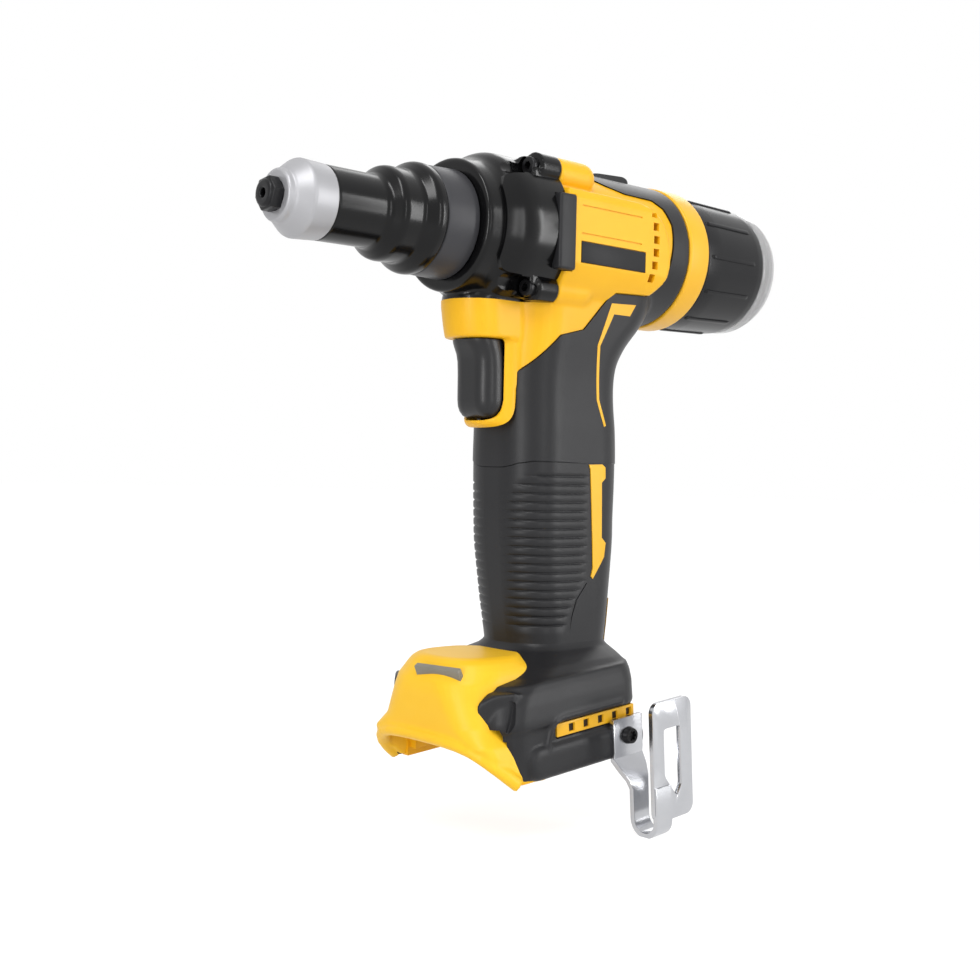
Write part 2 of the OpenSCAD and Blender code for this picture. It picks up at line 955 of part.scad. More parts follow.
// Thin yellow trim laid on the soft grip
module inlay(side) {
  color("#f6bd22")
    intersection() {
      mirror([0, side > 0 ? 0 : 1, 0])
        across(8, 40)
          union() {
            polygon([[-150.5, -25.2], [-165, -24.6], [-162, -29.4], [-152.4, -29.4], [-146.2, -42.6],
                     [-148.2, -64], [-152.6, -74.4], [-151.4, -74.9], [-146.8, -64.2], [-144.7, -42.4]]);
            polygon([[-142.9, -88.6], [-150.7, -88.3], [-152.6, -89.9], [-152.9, -95.8], [-150.7, -97.6],
                     [-151.8, -120], [-154.5, -122.2], [-153.9, -127.9], [-147.7, -136.3],
                     [-146.5, -134.5], [-147.5, -132.4], [-143.9, -90.9], [-143, -90.4]]);
          }
      difference() {
        grip_form(-0.35);
        grip_form();
      }
    }
}

module inlay_left() {
  inlay(1);
}

module inlay_right() {
  inlay(-1);
}

module label(side) {
  color("#38383b")
    mirror([0, side > 0 ? 0 : 1, 0])
      translate([label_x + seat, panel_y - label_t, label_z + seat])
        cube([label_len - 2 * seat, label_t + 0.2, label_h - 2 * seat]);
}

module label_left() {
  label(1);
}

module label_right() {
  label(-1);
}

module trigger() {
  color("#1d1d1f")
    difference() {
      union() {
        intersection() {
          translate([trigger_x, 0, trigger_top])
            rotate([0, trigger_lean, 0])
              translate([-trigger_back / 2, 0, -trigger_h - 3])
                linear_extrude(trigger_h + 6)
                  rounded(trigger_back, trigger_w, 8.6);
          translate([x_body - 6, -trigger_w, trigger_top - trigger_h])
            cube([2 * trigger_back + 6, 2 * trigger_w, trigger_h]);
        }
        translate([0, 0, stem_z])
          rod(trigger_x - trigger_back + 3, stem_len + 3, stem_r);
      }
      translate([trigger_x + finger_r - finger_dip, 0, trigger_top - trigger_h / 2])
        rotate([90, 0, 0])
          cylinder(r = finger_r, h = 2 * trigger_w, center = true, $fn = 180);
    }
}

module trigger_spring() {
  color("#9a9a9e")
    translate([0, 0, stem_z])
      along(spring_front)
        coil(stem_r + 1.4, spring_front - switch_x, 5, 0.5);
}

module switch_body() {
  size = [28, 18, 27];
  terminal = [16, 14, 8];
  low = stem_z - 13;
  color("#26262a")
    difference() {
      union() {
        translate([switch_x - size[0], -size[1] / 2, low])
          cube(size);
        translate([switch_x - (size[0] + terminal[0]) / 2, -terminal[1] / 2, low - terminal[2] + 1])
          cube(terminal);
      }
      translate([0, 0, stem_z])
        rod(switch_x + 1, stem_len + trigger_travel + 1, stem_r + free);
    }
}

module terminal_block() {
  depth = 14;
  width = 48;
  groove = blade_t + 0.2;
  color("#202023")
    at_foot()
      difference() {
        translate([slot_back + free, -width / 2, block_z])
          cube([depth, width, slot_h - block_z - seat]);
        for (i = [-2 : 2])
          translate([slot_back + 2, i * blade_gap - groove / 2, block_z - 1])
            cube([blade_len, groove, slot_h - block_z - 2]);
      }
}

module terminal_blades() {
  color("#c8b27a")
    at_foot()
      for (i = [-2 : 2])
        translate([slot_back + 2 + free, i * blade_gap - blade_t / 2, block_z + 1])
          cube([blade_len, blade_t, slot_h - block_z - 4 - free]);
}

// The board stands on the floor of its bay, with a plug, a capacitor and three switching chips
module control_board() {
  board = [52, board_w, 1.6];
  face = board_z + board[2] - 0.8;
  plug = [12, 9, 5];
  chip = [9, 6, 3.2];
  color("#24553a")
    at_foot()
      union() {
        translate([board_x, -board_w / 2, board_z])
          cube(board);
        translate([board_x + 5, board_w / 2 - plug[1] - 2, face])
          cube(plug);
        translate([board_x + 41, 13 - board_w / 2, face])
          cylinder(r = 4.5, h = plug[2]);
        for (i = [0 : 2])
          translate([board_x + 23, 5 - board_w / 2 + 1.5 * i * chip[1], face])
            cube(chip);
      }
}

module vent_strip(side) {
  color("#f3b81f")
    mirror([0, side > 0 ? 0 : 1, 0])
      at_foot()
        difference() {
          translate([strip_x - strip_len, foot_half - skin + seat, strip_z])
            cube([strip_len, skin - 0.5, strip_h]);
          for (i = [0 : slit_n - 1])
            translate([strip_x - 2 * slit_w - i * slit_step, foot_half - 4, strip_z + 1])
              cube([slit_w, 8, strip_h - 2]);
        }
}

module vent_strip_left() {
  vent_strip(1);
}

module vent_strip_right() {
  vent_strip(-1);
}

module foot_hood() {
  color("#fdc82f")
    difference() {
      hull()
        at_foot() {
          translate([-1, 0, hood_top])
            linear_extrude(0.2)
              rounded(36, foot_w - 35, 7, $fn = 32);
          translate([hood_front - 4, 0, hood_brow])
            linear_extrude(0.2)
              rounded(12, foot_w - 13, 5, $fn = 32);
          translate([hood_front - 4, 0, hood_lip])
            linear_extrude(0.2)
              rounded(8, foot_w - 6, 3.5, $fn = 32);
          translate([1, 0, 0])
            linear_extrude(0.2)
              rounded(4, foot_w - 0.4, 1.9, $fn = 32);
        }
      grip_form(-0.1);
      foot_shoulder(-0.1);
      at_foot() {
        translate([0, 0, -1])
          linear_extrude(foot_side_h + 1.4)
            foot_plan(-0.3);
        translate([-4, -slot_w / 2, -1])
          cube([hood_front - 4, slot_w, slot_h + 1]);
        translate([-10, 0, 0])
          rotate([90, 0, 90])
            linear_extrude(50)
              polygon([[-slot_w / 2, -1], [slot_w / 2, -1],
                       [slot_w / 2 - 10, hood_lip - 1], [10 - slot_w / 2, hood_lip - 1]]);
      }
      hood_plate_block();
    }
}

// The small plate on the hood's sloping front
module hood_plate_block(trim = 0) {
  at_foot()
    translate([hood_front + 1.6, 7.5, hood_top - 6.4])
      rotate([0, -14, 0])
        cube([plate_t, plate_w - 2 * trim, plate_h - 2 * trim], center = true);
}

module hood_plate() {
  color("#77777a")
    hood_plate_block(seat);
}

module bend(y, z, from, len, outer, a0) {
  translate([from, y, z])
    rotate([90, 0, 90])
      rotate([0, 0, a0])
        intersection() {
          difference() {
            cylinder(r = outer, h = len);
            translate([0, 0, -1])
              cylinder(r = outer - hook_t, h = len + 2);
          }
          translate([-2 * outer, -2 * outer, 0])
            cube([4 * outer, 2 * outer, len]);
        }
}

module belt_hook() {
  tab_y = foot_half + seat;
  tongue_y = tab_y + 8.2;
  plate_y = foot_half + hook_gap;
  turn_r = (plate_y + hook_t - tongue_y) / 2;
  low = -22;
  tab_w = 16.8;
  tab_low = 3;
  tab_h = 13.4;
  tongue_w = 9;
  neck_w = 12.4;
  root = 6;
  slot_top = 7;
  slot_low = 15;
  color("#d0d2d4")
    at_foot()
      difference() {
        union() {
          translate([hook_x - tab_w / 2, tab_y, tab_low])
            cube([tab_w, hook_t, tab_h]);
          translate([hook_x - 4, 0, 0])
            rotate([90, 0, 90])
              linear_extrude(neck_w)
                polygon([[tab_y, tab_low], [tab_y + hook_t, tab_low + 0.6],
                         [tongue_y + hook_t, -7], [tongue_y, -7.6]]);
          translate([hook_x - 2.6, tongue_y, low])
            cube([tongue_w, hook_t, -low - 7]);
          bend(tongue_y + turn_r, low, hook_x - 2.6, tongue_w, turn_r, 0);
          translate([hook_x - 2.55, plate_y + 0.05, low - 0.5])
            cube([tongue_w - seat, hook_t - seat, root]);
          translate([hook_x + 6.4 - hook_w / 2, plate_y, low + hook_h / 2])
            translate([0, hook_t, 0])
              rotate([90, 0, 0])
                linear_extrude(hook_t)
                  translate([-hook_w / 2, 0])
                    difference() {
                      translate([hook_w / 2, 0])
                        rounded(hook_w, hook_h, 4);
                      translate([hook_w / 2 - 3.6, -hook_h / 2 + slot_low])
                        square([8, hook_h - slot_low - slot_top]);
                      translate([hook_w / 2 + 0.4, -hook_h / 2 + slot_low + 0.05])
                        rotate(45)
                          square(5.657, center = true);
                    }
        }
        translate([hook_x, tab_y - 1, hook_z])
          rotate([-90, 0, 0])
            cylinder(r = hook_screw_r + 0.3, h = hook_t + 2);
      }
}

module hook_screw() {
  color("#3a3a3c")
    at_foot()
      translate([hook_x, hook_hole_end + 0.3, hook_z])
        rotate([-90, 0, 0])
          difference() {
            union() {
              cylinder(r = hook_screw_r, h = foot_half + seat + hook_t - hook_hole_end);
              translate([0, 0, foot_half + hook_t - hook_hole_end])
                cylinder(r = hook_head_r, h = 2.2);
            }
            translate([0, 0, foot_half + hook_t - hook_hole_end + 0.9])
              cylinder(r = 1.5, h = 3);
          }
}

module pulling_head() {
  color("#77787b")
    difference() {
      turned([[x_head, 0], [x_head, head_r - 1.5], [x_head - 1.5, head_r],
              [x_key + seat, head_r], [x_key + seat, 0]]);
      rod(x_head + 1, 4, jaw_front_r + 0.2);
      turned([[x_jaws + 0.5, 0], [x_jaws + 0.5, jaw_front_r], [x_jaws, jaw_front_r + 0.15],
              [x_jaws - jaw_len, jaw_rear_r + 0.15], [x_jaws - jaw_len, 0]]);
      rod(x_pusher, x_pusher - x_screw, head_bore_r);
      rod(x_screw + 0.1, 20, screw_r + seat);
    }
}

module jaws() {
  color("#8b8c90")
    difference() {
      turned([[x_jaws, 0], [x_jaws, jaw_front_r], [x_pusher, jaw_rear_r], [x_pusher, 0]]);
      rod(x_jaws + 1, jaw_len + 2, 1.4);
      for (a = [0, 120, 240])
        rotate([a, 0, 0])
          translate([x_pusher - 1, -0.5, 0])
            cube([jaw_len + 2, 1, 10]);
    }
}

module jaw_pusher() {
  color("#9c9da0")
    difference() {
      union() {
        rod(x_pusher, pusher_len, head_bore_r - free);
        rod(x_pusher, pusher_len + 3, jaw_spring_r - spring_wire);
      }
      rod(x_pusher + 1, pusher_len + 6, 2.4);
    }
}

module jaw_spring() {
  color("#a5a6aa")
    along(x_jaw_spring)
      coil(jaw_spring_r, x_jaw_spring - x_screw, 6, spring_wire / 2);
}

module ball_screw() {
  groove = 0.7;
  lead = 3;
  color("#a9aaae")
    difference() {
      rod(x_screw, screw_len, screw_r);
      rod(x_screw + 1, screw_len + 2, screw_bore_r);
      rod(x_screw_end + stroke + tube_in + 2, stroke + tube_in + 4, screw_back_r);
      for (x = [x_key - key_t - 4 : -lead : x_screw_end + 2])
        rotate([0, 90, 0])
          rotate_extrude()
            translate([screw_r + 0.4, x])
              circle(groove + 0.4, $fn = 24);
    }
}

module key_ring() {
  color("#6c6d70")
    difference() {
      union() {
        rod(x_key, key_t, key_reach - 2.2);
        translate([x_key - key_t, -key_w / 2, -key_reach])
          cube([key_t, key_w, 2 * key_reach]);
      }
      rod(x_key + 1, key_t + 2, screw_r + seat);
    }
}

module ball_nut() {
  color("#b0b1b5")
    difference() {
      union() {
        rod(x_nut, 5, nut_r - 1.4);
        rod(x_nut - 4.4, nut_len - 4.4, nut_r);
      }
      rod(x_nut + 1, nut_len + 2, screw_pass_r);
    }
}

module thrust_race() {
  color("#c4c5c8")
    pipe(x_nut + ball_r * 2 + 0.1 + race_t, race_t, nut_r - 1.4, screw_pass_r + 1);
}

module thrust_balls() {
  ball_n = 12;
  color("#dcdde0")
    for (i = [0 : ball_n - 1])
      rotate([360 * i / ball_n, 0, 0])
        translate([x_nut + ball_r + 0.05, 0, (nut_r + screw_r) / 2])
          sphere(ball_r);
}

module ring_gear() {
  pitch = gear_m * ring_t / 2;
  color("#87888c")
    along(x_planet2 + 1)
      difference() {
        cylinder(r = gear_bore_r - seat, h = x_planet2 - x_sun1_end + 1);
        translate([0, 0, -1])
          linear_extrude(x_planet2 - x_sun1_end + 3)
            polygon(gear_points(ring_t, pitch - gear_m, pitch + 1.25 * gear_m, -tooth_play));
      }
}

module carrier_plate(x) {
  pipe(x, carrier_t, carrier_r, screw_pass_r);
  for (a = [0, 120, 240])
    rotate([a, 0, 0])
      translate([0, 0, centre_r])
        rod(x - carrier_t + 0.5, planet_w + planet_gap + 1, pin_r);
}

module output_carrier() {
  color("#909196")
    carrier_plate(x_out);
}

// A planet at one of its three places, a tooth pointing outwards
module planet(x, a) {
  color("#9fa0a4")
    rotate([a, 0, 0])
      translate([0, 0, centre_r])
        along(x)
          difference() {
            linear_extrude(planet_w)
              gear(planet_t);
            translate([0, 0, -1])
              cylinder(r = pin_r + run, h = planet_w + 2);
          }
}

module output_planet_a() {
  planet(x_planet2, 0);
}

module output_planet_b() {
  planet(x_planet2, 120);
}

module output_planet_c() {
  planet(x_planet2, 240);
}

module sun(x, len) {
  along(x)
    difference() {
      linear_extrude(len)
        gear(sun_t);
      translate([0, 0, -1])
        cylinder(r = screw_pass_r, h = len + 2);
    }
}

module first_carrier() {
  color("#909196")
    union() {
      carrier_plate(x_first);
      sun(x_planet2, x_planet2 - x_first + 0.5);
    }
}

module first_planet_a() {
  planet(x_planet1, 0);
}

module first_planet_b() {
  planet(x_planet1, 120);
}

module first_planet_c() {
  planet(x_planet1, 240);
}

module rotor_shaft() {
  neck = x_mount - mount_t - 1.2;
  color("#a3a4a8")
    difference() {
      union() {
        sun(x_planet1, x_planet1 - x_sun1_end);
        rod(x_sun1_end + 0.5, x_sun1_end - neck + 0.5, journal_r);
        rod(neck, neck - x_holder + bearing_w - 0.3, shaft_r);
      }
      rod(x_planet1 + 1, x_planet1 - neck, screw_pass_r);
      rod(neck + 2, 80, guide_r + 0.3);
    }
}

module rotor_core() {
  magnet_w = 0.58 * rotor_r;
  magnet_t = 1.8;
  bridge = 1.6;
  color("#5f6064")
    difference() {
      rod(x_stator - 1, stator_len - 2, rotor_r);
      rod(x_stator, stator_len + 2, shaft_r + seat);
      for (i = [0 : 7])
        rotate([45 * i, 0, 0])
          translate([x_stator - stator_len - 1, -magnet_w / 2, rotor_r - bridge - magnet_t])
            cube([stator_len + 2, magnet_w, magnet_t]);
    }
}

module stator_core() {
  shoe_w = 13;
  shoe_t = 2.4;
  color("#6d6f73")
    difference() {
      union() {
        pipe(x_stator, stator_len, stator_r, stator_r - stator_ring);
        for (i = [0 : 5])
          rotate([60 * i, 0, 0]) {
            translate([x_stator - stator_len, -tooth_w / 2, rotor_r])
              cube([stator_len, tooth_w, stator_r - rotor_r - 2]);
            translate([x_stator - stator_len, -shoe_w / 2, rotor_r - 1])
              cube([stator_len, shoe_w, shoe_t]);
          }
      }
      rod(x_stator + 1, stator_len + 2, rotor_r + air_gap);
    }
}

module stator_coils() {
  overhang = 1.6;
  coil_w = 13.6;
  hole_w = tooth_w + 2 * seat;
  color("#b5652a")
    for (i = [0 : 5])
      rotate([60 * i, 0, 0])
        difference() {
          translate([x_stator - stator_len - overhang, -coil_w / 2, rotor_r + coil_shoe])
            cube([stator_len + 2 * overhang, coil_w, winding - stator_ring - coil_shoe - coil_back]);
          translate([x_stator - stator_len - seat, -hole_w / 2, rotor_r])
            cube([stator_len + 2 * seat, hole_w, stator_r]);
        }
}

module motor_fan() {
  blades = 9;
  blade = 1.2;
  color("#2d2e31")
    difference() {
      union() {
        rod(x_fan, fan_disc, fan_r);
        rod(x_fan, fan_t, shaft_r + 3);
        for (i = [0 : blades - 1])
          rotate([360 * i / blades, 0, 0])
            translate([x_fan - fan_t, -blade / 2, shaft_r + 1])
              cube([fan_t - 0.5, blade, fan_r - shaft_r - 2]);
      }
      rod(x_fan + 1, fan_t + 2, shaft_r + seat);
    }
}

module motor_bearings() {
  color("#c2c3c6")
    union() {
      pipe(x_mount - 0.2, mount_t - 0.4, journal_r + 4, journal_r + run);
      pipe(x_holder - 0.1, bearing_w - 0.1, bearing_r, shaft_r + run);
    }
}

module motor_mount() {
  color("#35363a")
    pipe(x_mount, mount_t, shell_r - seat, journal_r + 4 + seat);
}

module rear_holder() {
  spokes = 6;
  color("#35363a")
    difference() {
      union() {
        rod(x_holder, holder_t, shell_r - seat);
        rod(x_holder - 2, x_holder - x_cup - 6, guide_r + 3);
      }
      rod(x_holder + 1, bearing_w + 1, bearing_r + seat);
      rod(x_holder + 1, 60, guide_r + seat);
      for (i = [0 : spokes - 1])
        rotate([360 / spokes * (i + 0.5), 0, 0])
          translate([0, 0, (bearing_r + shell_r) / 2])
            rod(x_holder + 1, holder_t + 2, 5);
    }
}

module guide_tube() {
  color("#bdbec2")
    pipe(x_guide, x_guide - x_cup + 1, guide_r, guide_bore_r);
}

nosepiece();
nose_cone();
nose_housing();
lock_collar();
gear_housing();
housing_screws();
bumper_left();
bumper_right();
housing_left();
housing_right();
case_screws();
grip_left();
grip_right();
top_pad();
rear_ring();
mandrel_cup();
cup_rim();
inlay_left();
inlay_right();
label_left();
label_right();
trigger();
trigger_spring();
switch_body();
terminal_block();
terminal_blades();
control_board();
vent_strip_left();
vent_strip_right();
foot_hood();
hood_plate();
belt_hook();
hook_screw();
pulling_head();
jaws();
jaw_pusher();
jaw_spring();
ball_screw();
key_ring();
ball_nut();
thrust_race();
thrust_balls();
ring_gear();
output_carrier();
output_planet_a();
output_planet_b();
output_planet_c();
first_carrier();
first_planet_a();
first_planet_b();
first_planet_c();
rotor_shaft();
rotor_core();
stator_core();
stator_coils();
motor_fan();
motor_bearings();
motor_mount();
rear_holder();
guide_tube();
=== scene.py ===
import bmesh
import bpy
import json
from math import cos, hypot, pi, radians, sin, sqrt, tau
from mathutils import Matrix, Vector


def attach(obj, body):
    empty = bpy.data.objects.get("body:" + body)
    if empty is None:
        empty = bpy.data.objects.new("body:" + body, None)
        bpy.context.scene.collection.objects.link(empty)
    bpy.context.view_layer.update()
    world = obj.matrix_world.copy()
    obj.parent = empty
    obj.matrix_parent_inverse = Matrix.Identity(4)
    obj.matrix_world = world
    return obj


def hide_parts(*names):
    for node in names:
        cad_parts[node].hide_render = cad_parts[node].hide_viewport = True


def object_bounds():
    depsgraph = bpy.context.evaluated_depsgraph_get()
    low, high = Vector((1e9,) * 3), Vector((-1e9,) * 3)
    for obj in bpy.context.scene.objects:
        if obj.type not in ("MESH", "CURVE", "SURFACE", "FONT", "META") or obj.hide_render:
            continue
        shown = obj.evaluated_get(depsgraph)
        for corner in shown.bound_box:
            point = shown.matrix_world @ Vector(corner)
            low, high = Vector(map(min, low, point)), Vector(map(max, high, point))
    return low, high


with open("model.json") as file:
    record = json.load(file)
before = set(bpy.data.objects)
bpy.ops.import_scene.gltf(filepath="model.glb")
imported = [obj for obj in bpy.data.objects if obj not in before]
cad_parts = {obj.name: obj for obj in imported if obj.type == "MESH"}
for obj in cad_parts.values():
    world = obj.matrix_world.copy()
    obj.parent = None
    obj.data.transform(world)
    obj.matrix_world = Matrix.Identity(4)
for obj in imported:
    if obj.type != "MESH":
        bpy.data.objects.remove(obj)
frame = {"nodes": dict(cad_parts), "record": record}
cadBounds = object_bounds()
scene = bpy.context.scene

mm = 0.001  # the scene is in metres, the sizes below in millimetres
far = 60  # beyond the tool's sides: how far cutting shapes reach


# colours and nodes
def toLinear(hexText):
    parts = [int(hexText[i:i + 2], 16) / 255 for i in (0, 2, 4)]
    return [c / 12.92 if c <= 0.04045 else ((c + 0.055) / 1.055) ** 2.4 for c in parts] + [1]


def addNode(tree, kind, settings=None, links=None):
    node = tree.nodes.new(kind)
    for key, value in (settings or {}).items():
        if isinstance(key, int) or key in node.inputs:
            node.inputs[key].default_value = value
        else:
            setattr(node, key, value)
    for key, source in (links or {}).items():
        tree.links.new(source, node.inputs[key])
    return node


# The real surface, how it was made, and what that gives the eye. Values: colour, shade, grain, bump,
# roughness and its spread, specular, metallic, rings. Grain and rings are as coarse as they need to show.
finishes = {
    # nylon moulded in a spark-eroded tool: even satin yellow with a fine pimpled grain
    "sparkedNylonYellow": ("EEB516", "E7AB0E", 0.55, 0.1, 0.4, 0.08, 0.3),
    # the same nylon on the hood, a shade lighter
    "sparkedNylonHood": ("F4C228", "EEB81D", 0.55, 0.1, 0.42, 0.08, 0.3),
    # nylon from a polished tool: smoother, a soft long highlight
    "smoothNylonRing": ("ECB424", "E6AB1B", 0.9, 0.04, 0.33, 0.06, 0.35),
    # thermoplastic rubber moulded over the handle: dull charcoal with a fine orange peel
    "overmouldedRubber": ("1F1F21", "1A1A1C", 0.45, 0.14, 0.4, 0.08, 0.27),
    # the same rubber on the pads and bumpers, a little duller
    "paddedRubber": ("1F1F21", "1A1A1C", 0.4, 0.12, 0.44, 0.08, 0.26),
    # glass-filled nylon, lacquered: deep black with clear reflections, faint flow marks
    "lacqueredNylonBlack": ("060607", "09090A", 6, 0.03, 0.2, 0.05, 0.23),
    # black nylon from a fine tool: semi-gloss, a little milky in grazing light
    "semiGlossNylonBlack": ("121214", "161618", 0.5, 0.04, 0.24, 0.06, 0.2),
    # phosphated steel under clear varnish: flat mid grey
    "phosphatedSleeve": ("3C3C3F", "343437", 0.3, 0.05, 0.4, 0.05, 0.22),
    # plain dark plate of satin plastic: even, almost no highlight
    "satinPlate": ("1A1A1C", "161618", 0.35, 0.06, 0.44, 0.05, 0.2),
    # nylon trigger with a fine spark-eroded face: one soft highlight down its corner
    "satinNylonTrigger": ("19191B", "151517", 0.4, 0.05, 0.34, 0.05, 0.36),
    # die-cut foil on the hood: flat grey, blotched
    "dieCutFoil": ("8B8678", "6E6A60", 1.6, 0.02, 0.4, 0.1, 0.4),
    # matt nickel on turned steel: pale grey, soft wide highlight, fine rings
    "mattNickelTurned": ("A9A9AC", "9E9EA1", 0.35, 0.05, 0.42, 0.05, 0.4, 0.4, 0.35),
    # blackened screw steel: dark, a little blue, tight highlights
    "blackOxideSteel": ("1E1E20", "141416", 0.25, 0.06, 0.32, 0.1, 0.4, 0.5),
    # rolled spring steel, tumbled and nickel plated: bright, slightly uneven
    "tumbledNickelSteel": ("BFC0C3", "ACADB1", 1.2, 0.03, 0.2, 0.08, 0.5, 1),
    # hardened and ground steel inside the drive: pale, with fine rings
    "groundSteel": ("B4B5B8", "A2A3A7", 0.3, 0.04, 0.28, 0.08, 0.5, 1, 0.3),
    # sintered gear steel with an oil film: darker, grainy
    "sinteredSteel": ("85868A", "6F7074", 0.35, 0.1, 0.42, 0.12, 0.5, 0.9),
    # stacked sheets of electrical steel: fine lines across the axis
    "stackedSheetSteel": ("6A6B70", "55565A", 0.5, 0.06, 0.45, 0.1, 0.5, 0.8, 0.5),
    # enamelled copper wire: red brown with a varnish shine
    "enamelledCopper": ("B4622A", "8E4517", 0.8, 0.1, 0.3, 0.1, 0.5, 0.6),
    # tinned brass contact blades: pale yellow metal
    "tinnedBrass": ("C9B27A", "B59C63", 0.5, 0.03, 0.3, 0.08, 0.5, 0.9),
    # solder mask over copper: glossy green
    "solderMask": ("1F5A38", "17482C", 1.5, 0.05, 0.3, 0.05, 0.5),
    # plain moulding out of sight: dull black
    "plainMouldingBlack": ("242427", "1C1C1F", 0.5, 0.08, 0.48, 0.08, 0.4),
}
clearFinish = {"colour": "E2E2E2", "shade": "D4D4D5", "grain": 0.6, "bump": 0.08,
               "rough": 0.1, "transmission": 0.72, "ior": 1.58}
patchSize = 14.0  # of the faint patches in colour and roughness
bumpHeight = 0.2


def newSurface(name):
    mat = bpy.data.materials.new(name)
    mat.use_nodes = True
    tree = mat.node_tree
    return mat, tree, tree.nodes["Principled BSDF"], addNode(tree, "ShaderNodeTexCoord").outputs["Object"]


def tintAndBump(tree, shader, colour, shade, mix, strength, height):
    # two close colours mixed by a noise, and a bump
    colours = {"data_type": "RGBA", 6: toLinear(colour), 7: toLinear(shade)}
    tint = addNode(tree, "ShaderNodeMix", colours, {0: mix})
    tree.links.new(tint.outputs[2], shader.inputs["Base Color"])
    depth = {"Strength": strength, "Distance": bumpHeight * mm}
    bump = addNode(tree, "ShaderNodeBump", depth, {"Height": height})
    tree.links.new(bump.outputs["Normal"], shader.inputs["Normal"])


def makeFinish(name, colour, shade, grain, bump, rough, spread, specular, metallic=0, rings=0):
    # faint patches in colour and roughness, and a bump from the grain
    mat, tree, shader, place = newSurface(name)
    patches = {"Scale": 1 / (patchSize * mm), "Detail": 4, "Roughness": 0.55}
    wide = addNode(tree, "ShaderNodeTexNoise", patches, {"Vector": place}).outputs["Fac"]
    fine = {"Scale": 1 / (grain * mm), "Detail": 3, "Roughness": 0.6}
    height = addNode(tree, "ShaderNodeTexNoise", fine, {"Vector": place}).outputs["Fac"]
    if rings:  # marks of the lathe or of stacked sheets, thin bands along the barrel
        axis = addNode(tree, "ShaderNodeSeparateXYZ", None, {"Vector": place})
        lines = {"noise_dimensions": "1D", "Scale": 1 / (rings * mm), "Detail": 2.0}
        bands = addNode(tree, "ShaderNodeTexNoise", lines, {"W": axis.outputs["X"]})
        both = addNode(tree, "ShaderNodeMath", {"operation": "ADD"}, {0: bands.outputs["Fac"], 1: height})
        height = both.outputs[0]
    tintAndBump(tree, shader, colour, shade, wide, bump, height)
    limits = {"To Min": rough - spread / 2, "To Max": rough + spread / 2}
    uneven = addNode(tree, "ShaderNodeMapRange", limits, {"Value": wide})
    tree.links.new(uneven.outputs["Result"], shader.inputs["Roughness"])
    shader.inputs["Metallic"].default_value = metallic
    shader.inputs["Specular IOR Level"].default_value = specular
    return mat


def makeClearRim(s):
    # clear polycarbonate, moulded with a fine frosted face: pale, bright at its edges
    mat, tree, shader, place = newSurface("frostedPolycarbonate")
    grain = {"Scale": 1 / (s["grain"] * mm), "Detail": 2.0}
    frost = addNode(tree, "ShaderNodeTexNoise", grain, {"Vector": place}).outputs["Fac"]
    tintAndBump(tree, shader, s["colour"], s["shade"], frost, s["bump"], frost)
    shader.inputs["Roughness"].default_value = s["rough"]
    shader.inputs["Transmission Weight"].default_value = s["transmission"]
    shader.inputs["IOR"].default_value = s["ior"]
    return mat


looks = {name: makeFinish(name, *row) for name, row in finishes.items()}
looks["frostedPolycarbonate"] = makeClearRim(clearFinish)
print("finishes made:", len(looks))


# mesh tools; sizes in mm
def placed(bm, matrix):
    bmesh.ops.transform(bm, matrix=matrix, verts=bm.verts[:])
    return bm


def outwards(bm):
    bmesh.ops.recalc_face_normals(bm, faces=bm.faces[:])
    return bm


def moved(bm, x, y, z):
    bmesh.ops.translate(bm, vec=(x * mm, y * mm, z * mm), verts=bm.verts[:])
    return bm


def turned(profile, steps=96):
    # a profile of [x, r], spun about the barrel's axis; ends on the axis close the shape
    bm = bmesh.new()
    verts = [bm.verts.new((x * mm, 0, r * mm)) for x, r in profile]
    edges = [bm.edges.new(pair) for pair in zip(verts, verts[1:])]
    bmesh.ops.spin(bm, geom=verts + edges, cent=(0, 0, 0), axis=(1, 0, 0), angle=tau, steps=steps,
                   use_merge=True)
    bmesh.ops.remove_doubles(bm, verts=bm.verts[:], dist=0.001 * mm)
    return outwards(bm)


def drum(x0, x1, r, steps=64):
    # a solid round from x0 to x1 about the barrel's axis
    return turned([(x0, 0), (x0, r), (x1, r), (x1, 0)], steps)


def rounded(profile, radius, steps=5):
    # the same profile with its inner corners rounded off by radius
    out = [profile[0]]
    for a, b, c in zip(profile, profile[1:], profile[2:]):
        p, q, r = Vector(a), Vector(b), Vector(c)
        reach = min(radius, (p - q).length * 0.45, (r - q).length * 0.45)
        first, last = q + (p - q).normalized() * reach, q + (r - q).normalized() * reach
        for k in range(steps + 1):
            t = k / steps
            out.append(tuple(first * (1 - t) ** 2 + q * 2 * t * (1 - t) + last * t ** 2))
    return out + [profile[-1]]


def turnedRing(profile, radius, cornerSteps, steps=96):
    # a profile that closes on its first point, its other corners rounded, turned into a ring
    return turned(rounded(profile, radius, cornerSteps) + [profile[0]], steps)


def roundEdges(bm, edges, width, segments=3):
    bmesh.ops.bevel(bm, geom=edges, offset=width * mm, offset_type="OFFSET", affect="EDGES",
                    segments=segments, profile=0.5, material=-1, clamp_overlap=True)


def block(low, high, edge=0, segments=3):
    # a box between two corners, its edges rounded by edge
    bm = bmesh.new()
    bmesh.ops.create_cube(bm, size=1)
    size = [b - a for a, b in zip(low, high)]
    bmesh.ops.scale(bm, vec=[s * mm for s in size], verts=bm.verts[:])
    bmesh.ops.translate(bm, vec=[(a + b) / 2 * mm for a, b in zip(low, high)], verts=bm.verts[:])
    if edge:
        roundEdges(bm, bm.edges[:], edge, segments)
    return bm


def sideBlock(side, low, high, edge=0, segments=3):
    # a box on one side of the tool, given for the left side, where side is 1
    y0, y1 = sorted((side * low[1], side * high[1]))
    return block((low[0], y0, low[2]), (high[0], y1, high[2]), edge, segments)


